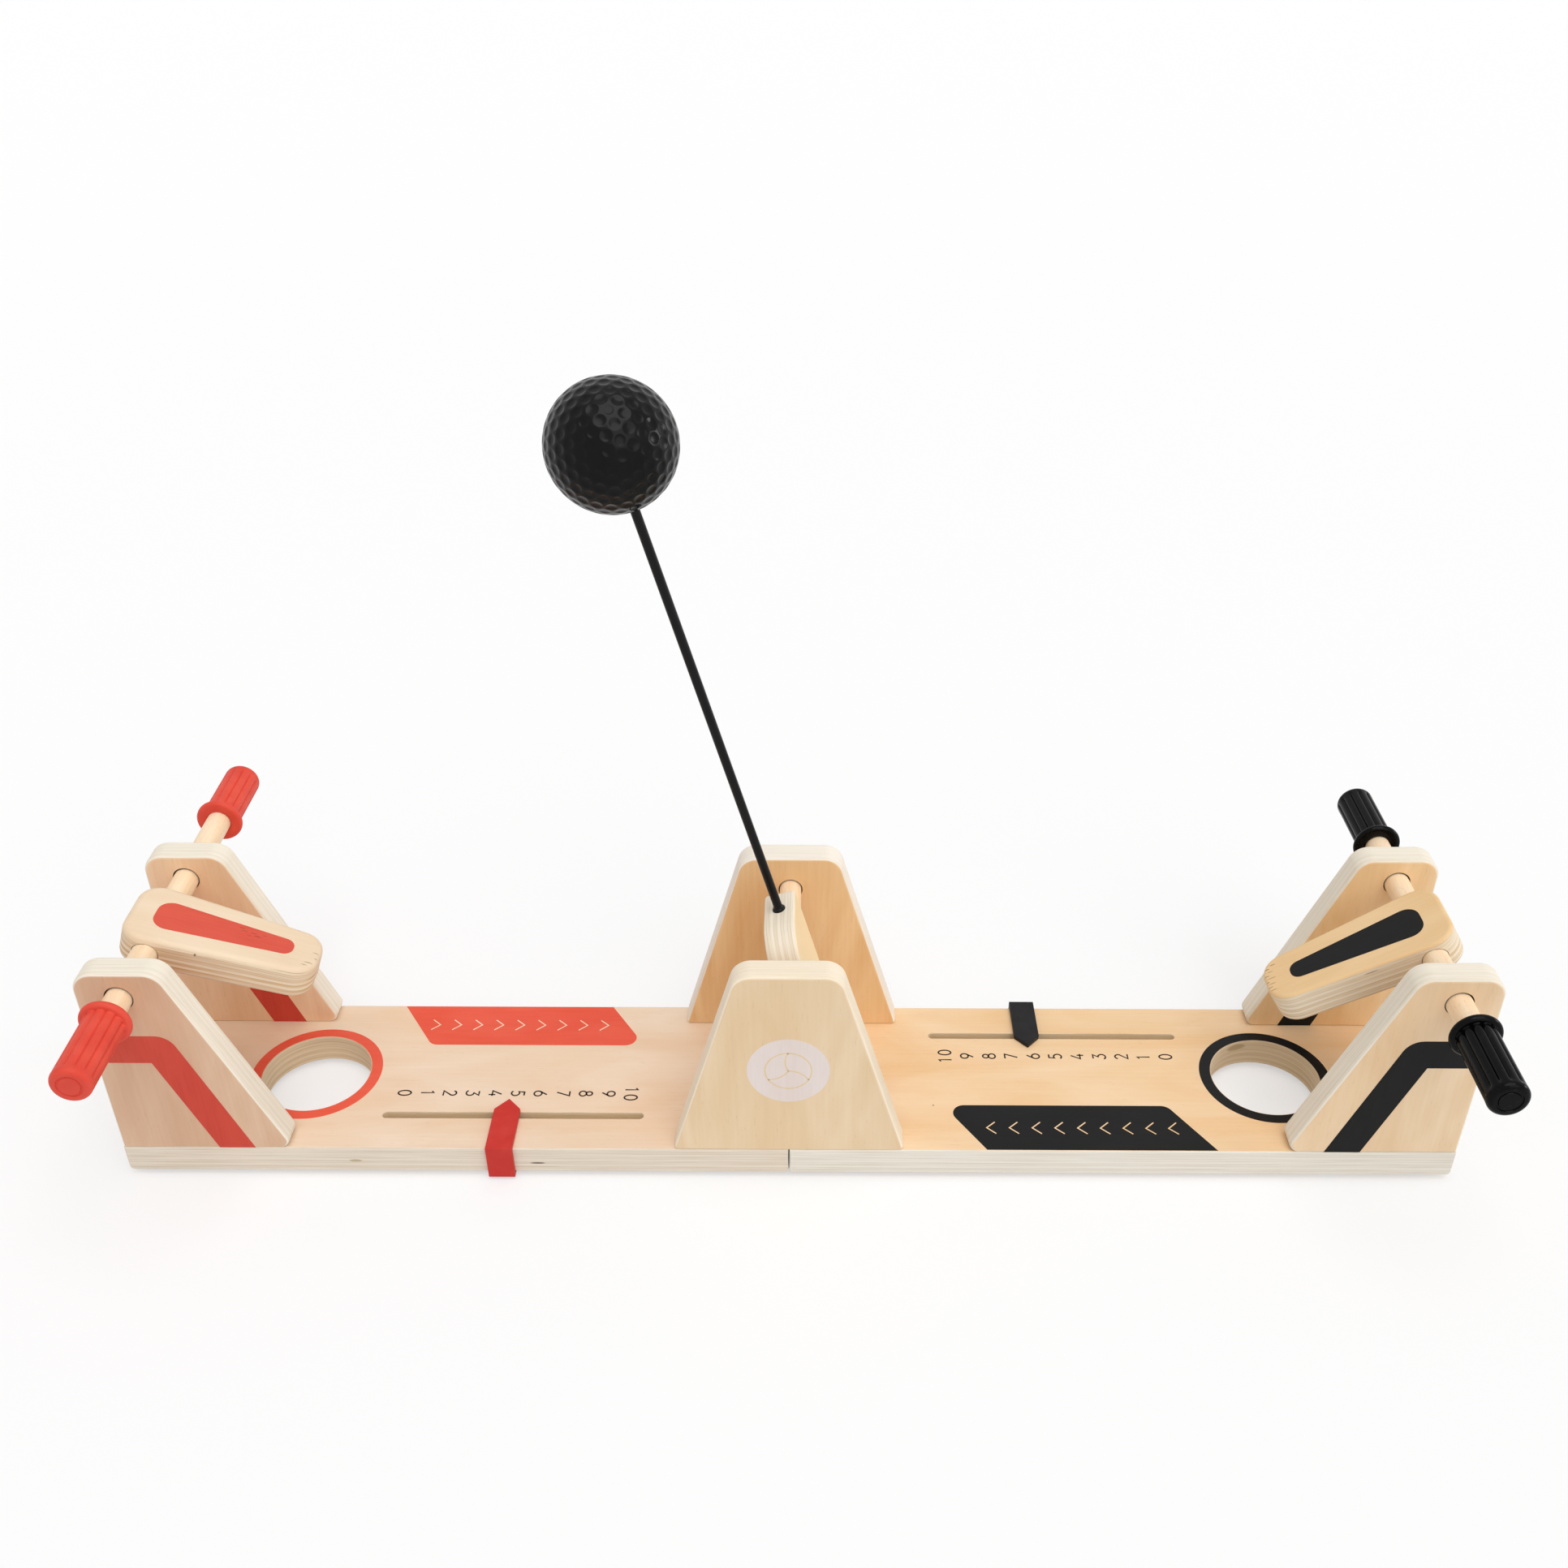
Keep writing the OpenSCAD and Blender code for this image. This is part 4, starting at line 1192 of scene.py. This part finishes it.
def rib_group(name, material):
    """Grooves pressed into a smooth sleeve, which leave rounded ribs between them."""
    ribs, parts = node_group(name, *GRIP_SIZES)
    spot = add(ribs, "ShaderNodeSeparateXYZ", (add(ribs, "GeometryNodeInputPosition"),))
    parts.update({socket.name: socket for socket in spot.outputs})
    for part, operation, *terms in RIB_SUMS:
        parts[part] = add(ribs, "ShaderNodeMath", [parts.get(term, term) for term in terms],
                          operation=operation)
    pressed = add(ribs, "ShaderNodeCombineXYZ",
                  (parts["pressed X"], parts["pressed Y"], parts["Z"]))
    ribbed = add(ribs, "GeometryNodeSetPosition",
                 {"Geometry": parts["Geometry"], "Position": pressed})
    close_group(ribs, ribbed, material)
    return ribs


# Soft moulded red rubber: matt, slightly paler where it is worn.
red_rubber = clouded("soft red rubber", 0.5, ("#E15240", "#D84636"), (10, 10, 10), 0.5,
                     0.05 * MM, 0.03, Specular_IOR_Level=0.2)
GRIP_GROUPS = {
    "left": rib_group("red grip ribs", red_rubber),
    "right": rib_group("black grip ribs", black_rubber("glossy black rubber", 0.14, 0.09, 0.05)),
}
GRIP_SLOTS = {"left": "red_grip", "right": "black_grip"}
for end, way in WAYS.items():
    centre = sum(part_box(f"{end}_dowel"), Vector()) / 2
    wood = beech(f"{end} handle beech", centre, ALONG_Y)
    bar, centre, _ = dowel(f"{end}_handle_bar", wood, f"{end}_dowel")
    fixed(bar, f"{end}_handle", "beech_dowel", f"{end}_dowel")
    for side, face in (("front", -1), ("rear", 1)):
        node = f"{end}_grip_{side}"
        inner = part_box(node)[1].y if face < 0 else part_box(node)[0].y
        grip = grown(f"{end}_{side}_grip", grip_blank(), GRIP_GROUPS[end], GRIP_SIZES)
        lean = Matrix.Rotation(-way * PADDLE_SLOPES[end], 4, "Y")
        lay = Matrix.Rotation(-face * math.pi / 2, 4, "X")
        grip.data.transform(Matrix.Translation((centre.x, inner, centre.z)) @ lean @ lay)
        grip.data.shade_smooth()
        grip.data.set_sharp_from_angle(angle=math.radians(55))
        fixed(grip, f"{end}_handle", GRIP_SLOTS[end], node)


# The paddles: tapered bars of 14 mm plywood, well rounded by sanding and bored across for the
# handle's dowel. A tapered bar is printed on top in the player's colour. Their tips are chipped and
# scuffed where they hit the ball.
PADDLE_EASE = {"left": 2.3 * MM, "right": 1.5 * MM}
PADDLE_HEEL = 11 * MM
PADDLE_REACH = 60 * MM
BAR = [(-2, -8.2), (49.7, -4.1), (49.7, 4.1), (-2, 8.2)]
BAR_CORNERS = [5.6, 3.9, 3.9, 5.6]
PADDLE_COLOURS = {"left": ("#EDD8BD", "#E4C8A5"), "right": ("#F0CFA0", "#E6BD86")}
BAR_INKS = {"left": ("#DA5B48", "#D05041"), "right": ("#101010", "#171717")}
BAR_SCUFFS = {
    "left": [
        (4.6, 3.9, 1.3, 0.2, "#7E3A2E"), (5.8, 2.6, 1.7, 0.2, "#93453A"),
        (9.4, 2.4, 1.6, 0.2, "#7E3A2E"), (11.2, 1.2, 1.5, 0.22, "#6E3228"),
        (8.2, 0.6, 1.0, 0.18, "#93453A"), (13.6, 2.6, 0.9, 0.18, "#93453A"),
    ],
    "right": [(6.0, -1.5, 0.9, 0.15, "#2E2B29")],
}
PADDLE_PLIES = 11
# The left paddle's darker, more orange edge is partly painted shade on its shaded side, over its
# real plies and glue lines.
PADDLE_EDGES_AND_PAINTED_SHADE = {
    "left": ("#F0DEC3", "#D2AA79", 1.5, "#8E6034"), "right": ("#F1E4CE", "#D8BF97", 1.3, "#A47A46"),
}
PADDLE_SCUFFS = {
    "left": [
        (33.6, 0.5, 1.5, 0.2, "#6B4A33"), (32.2, -5.6, 2.0, 0.22, "#5A3B28"),
        (34.2, -2.4, 1.0, 0.2, "#7A563A"), (31.0, -7.2, 1.3, 0.25, "#8A6446"),
    ],
    "right": [
        (33.2, 5.4, 1.6, 0.2, "#5F4430"), (34.0, 3.6, 1.2, 0.2, "#4A3424"),
        (33.0, 1.9, 2.0, 0.2, "#6B4E36"), (34.4, 0.6, 0.9, 0.25, "#3F2C1F"),
        (32.6, -1.1, 2.2, 0.2, "#6B4E36"), (34.0, -2.8, 1.4, 0.22, "#4A3424"),
        (32.4, -4.6, 1.8, 0.2, "#7A5B40"), (33.2, -6.4, 1.2, 0.3, "#4F3828"),
        (30.6, -7.8, 1.6, 0.25, "#6B4E36"),
    ],
}
PADDLE_CHIPS = {
    "left": [
        (-7.0, -13.0, 4.7, 0.5, 0.8, "#7A5638"), (-15.0, -13.5, 5.7, 19.0, 0.2, "#8A6038"),
        (26.0, -10.0, 5.6, 8.0, 0.22, "#8F6C48"), (34.0, -5.0, 1.0, 4.0, 0.25, "#8F6C48"),
    ],
    "right": [(-2.0, 13.0, 4.6, 3.0, 0.25, "#8A6646"), (34.0, 2.0, 5.2, 3.0, 0.35, "#6B4E36")],
}
for end, way in WAYS.items():
    place = board_place(f"{end}_paddle", (-way, 0, 0))
    label = f"{end} paddle"
    woods = board_woods(label, place, PADDLE_PLIES, PADDLE_COLOURS[end], PADDLE_EDGES_AND_PAINTED_SHADE[end],
                        HANDLE_HOLES_PAINTED_SHADE, (PADDLE_SCUFFS[end], PADDLE_CHIPS[end], ()))
    low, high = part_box(f"{end}_dowel")
    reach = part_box(f"{end}_paddle")[1].y + 2 * MM
    start = ((low.x + high.x) / 2, -reach, (low.z + high.z) / 2)
    bore = (round_at(start, (0, 1, 0), (high.z - low.z) / 2 + HANDLE_PLAY), (0, 2 * reach, 0))
    paddle = plywood(f"{end}_bat", place, woods, PADDLE_EASE[end], cutters=[bore], skin=4)
    fixed(paddle, f"{end}_paddle_set", PLYWOOD_SLOTS[end], f"{end}_paddle")
    ahead = (PADDLE_REACH - PADDLE_HEEL) / 2
    corners = [Vector((x * MM - ahead, y * MM)) for x, y in BAR]
    bar = rounded(corners, [r * MM for r in BAR_CORNERS])
    ink = screen_ink(f"{label} screen ink, scuffed", place, *BAR_INKS[end], BAR_SCUFFS[end])
    printed(f"{end}_bat_bar", place, ink, INK_SLOTS[end], [(1, [bar])], body=f"{end}_paddle_set")


# The score markers: pointed clips of moulded plastic that slide along the edge of the court, with a
# key in the slot. They are moulded in one piece, with slightly rounded edges.
MARKER_ROUND = 0.22 * MM
MARKER_COLOURS = {"left": ("#C5332B", "#CB3C34"), "right": ("#161616", "#1E1E1E")}


for end in WAYS:
    bm = merged(f"{end}_marker")
    bmesh.ops.dissolve_limit(bm, angle_limit=math.radians(1), verts=bm.verts, edges=bm.edges)
    sharp = [e for e in bm.edges if e.calc_face_angle(0) > math.radians(20)]
    bmesh.ops.bevel(bm, geom=sharp, offset=MARKER_ROUND, segments=3, profile=0.5, affect="EDGES",
                    clamp_overlap=True)
    # Injection-moulded polypropylene: satin, with a very fine tooth from the mould.
    plastic = clouded(f"{end} marker polypropylene", 0.42, MARKER_COLOURS[end], (6, 6, 6), 0.35,
                      0.05 * MM, 0.12, 2.0, Specular_IOR_Level=0.15)
    clip = smoothed(new_piece(f"{end}_score_marker", bm, [plastic]), 50)
    fixed(clip, f"{end}_score", INK_SLOTS[end], f"{end}_marker")


# The studio: a white floor that runs out of sight, and big soft lamps from above and in front.
# The camera stands where the photograph was taken from, and its shift is what the crop needs.
FLOOR_HALF = 12.0
FLOOR_GLOW = 0.5
FLOOR_GREY = "#B4B4B4"
FLOOR_BOUNCE = ("#F0F0F2", "#F2F2F3")
AMBIENT = 0.5
LAMPS = {
    "overhead softbox": (1.45, 50, (0.1, -0.25, 1.0)),
    "front softbox": (0.45, 40, (0.55, -1.0, 0.75)),
    "right strip": (0.42, 15, (1.0, 0.1, 0.2)),
}
CAMERA_SPOT = (8.21 * MM, -472.14 * MM, 453.87 * MM)
CAMERA_LENS = 36.256
CAMERA_SHIFT = (-0.0132, 0.0167)
PITCH, YAW, ROLL = 0.5835, -0.00526, -0.00056


def seen_white(tree):
    """One for the rays that see the background straight or in a reflection, otherwise zero."""
    rays = add(tree, "ShaderNodeLightPath").outputs
    seen = add(tree, "ShaderNodeMath", (rays["Is Camera Ray"], rays["Is Glossy Ray"]),
               operation="MAXIMUM")
    return add(tree, "ShaderNodeMath", (seen, rays["Is Transmission Ray"]), operation="MAXIMUM")


floor_white, tree, shader = new_material("white studio floor", 0.9, Specular_IOR_Level=0.1)
patch = add(tree, "ShaderNodeTexNoise", {
    "Vector": add(tree, "ShaderNodeTexCoord").outputs["Object"], "Scale": 3.0,
})
seen = seen_white(tree)
bounce = add(tree, "ShaderNodeMix", (patch, *FLOOR_BOUNCE), data_type="RGBA")
paper = add(tree, "ShaderNodeMix", (seen, bounce, FLOOR_GREY), data_type="RGBA")
glow = add(tree, "ShaderNodeMath", (seen, FLOOR_GLOW), operation="MULTIPLY")
feed(tree, shader.inputs["Base Color"], paper)
feed(tree, shader.inputs["Emission Color"], "#FFFFFF")
feed(tree, shader.inputs["Emission Strength"], glow)
bm = bmesh.new()
corners = [(s * FLOOR_HALF, t * FLOOR_HALF, 0) for s, t in ((-1, -1), (1, -1), (1, 1), (-1, 1))]
bm.faces.new([bm.verts.new(corner) for corner in corners])
new_piece("studio_floor", bm, [floor_white])

world = bpy.data.worlds.new("soft white studio")
bpy.context.scene.world = world
world.use_nodes = True
tree = world.node_tree
backdrop = tree.nodes["Background"].inputs
feed(tree, backdrop["Color"], "#FFFFFF")
ambient = add(tree, "ShaderNodeMapRange", (seen_white(tree), 0.0, 1.0, AMBIENT, 1.0))
feed(tree, backdrop["Strength"], ambient)

for name, (strength, width, towards) in LAMPS.items():
    lamp = bpy.data.lights.new(name, "SUN")
    lamp.energy = strength
    lamp.angle = math.radians(width)
    obj = bpy.data.objects.new(name, lamp)
    obj.rotation_euler = Vector(towards).to_track_quat("Z", "Y").to_euler()
    bpy.context.scene.collection.objects.link(obj)

camera = bpy.data.cameras.new("photograph")
camera.lens = CAMERA_LENS
camera.sensor_width = 36
camera.shift_x, camera.shift_y = CAMERA_SHIFT
camera.clip_start = 0.01
camera.clip_end = 60
ahead = Vector((math.sin(YAW) * math.cos(PITCH), math.cos(YAW) * math.cos(PITCH), -math.sin(PITCH)))
level = Vector((math.cos(YAW), -math.sin(YAW), 0))
down = ahead.cross(level)
rightward = level * math.cos(ROLL) + down * math.sin(ROLL)
downward = down * math.cos(ROLL) - level * math.sin(ROLL)
photographer = bpy.data.objects.new("photograph", camera)
turn = Matrix((rightward, -downward, -ahead)).transposed()
photographer.matrix_world = Matrix.Translation(CAMERA_SPOT) @ turn.to_4x4()
bpy.context.scene.collection.objects.link(photographer)
bpy.context.scene.camera = photographer
bpy.context.scene.view_settings.view_transform = "Standard"
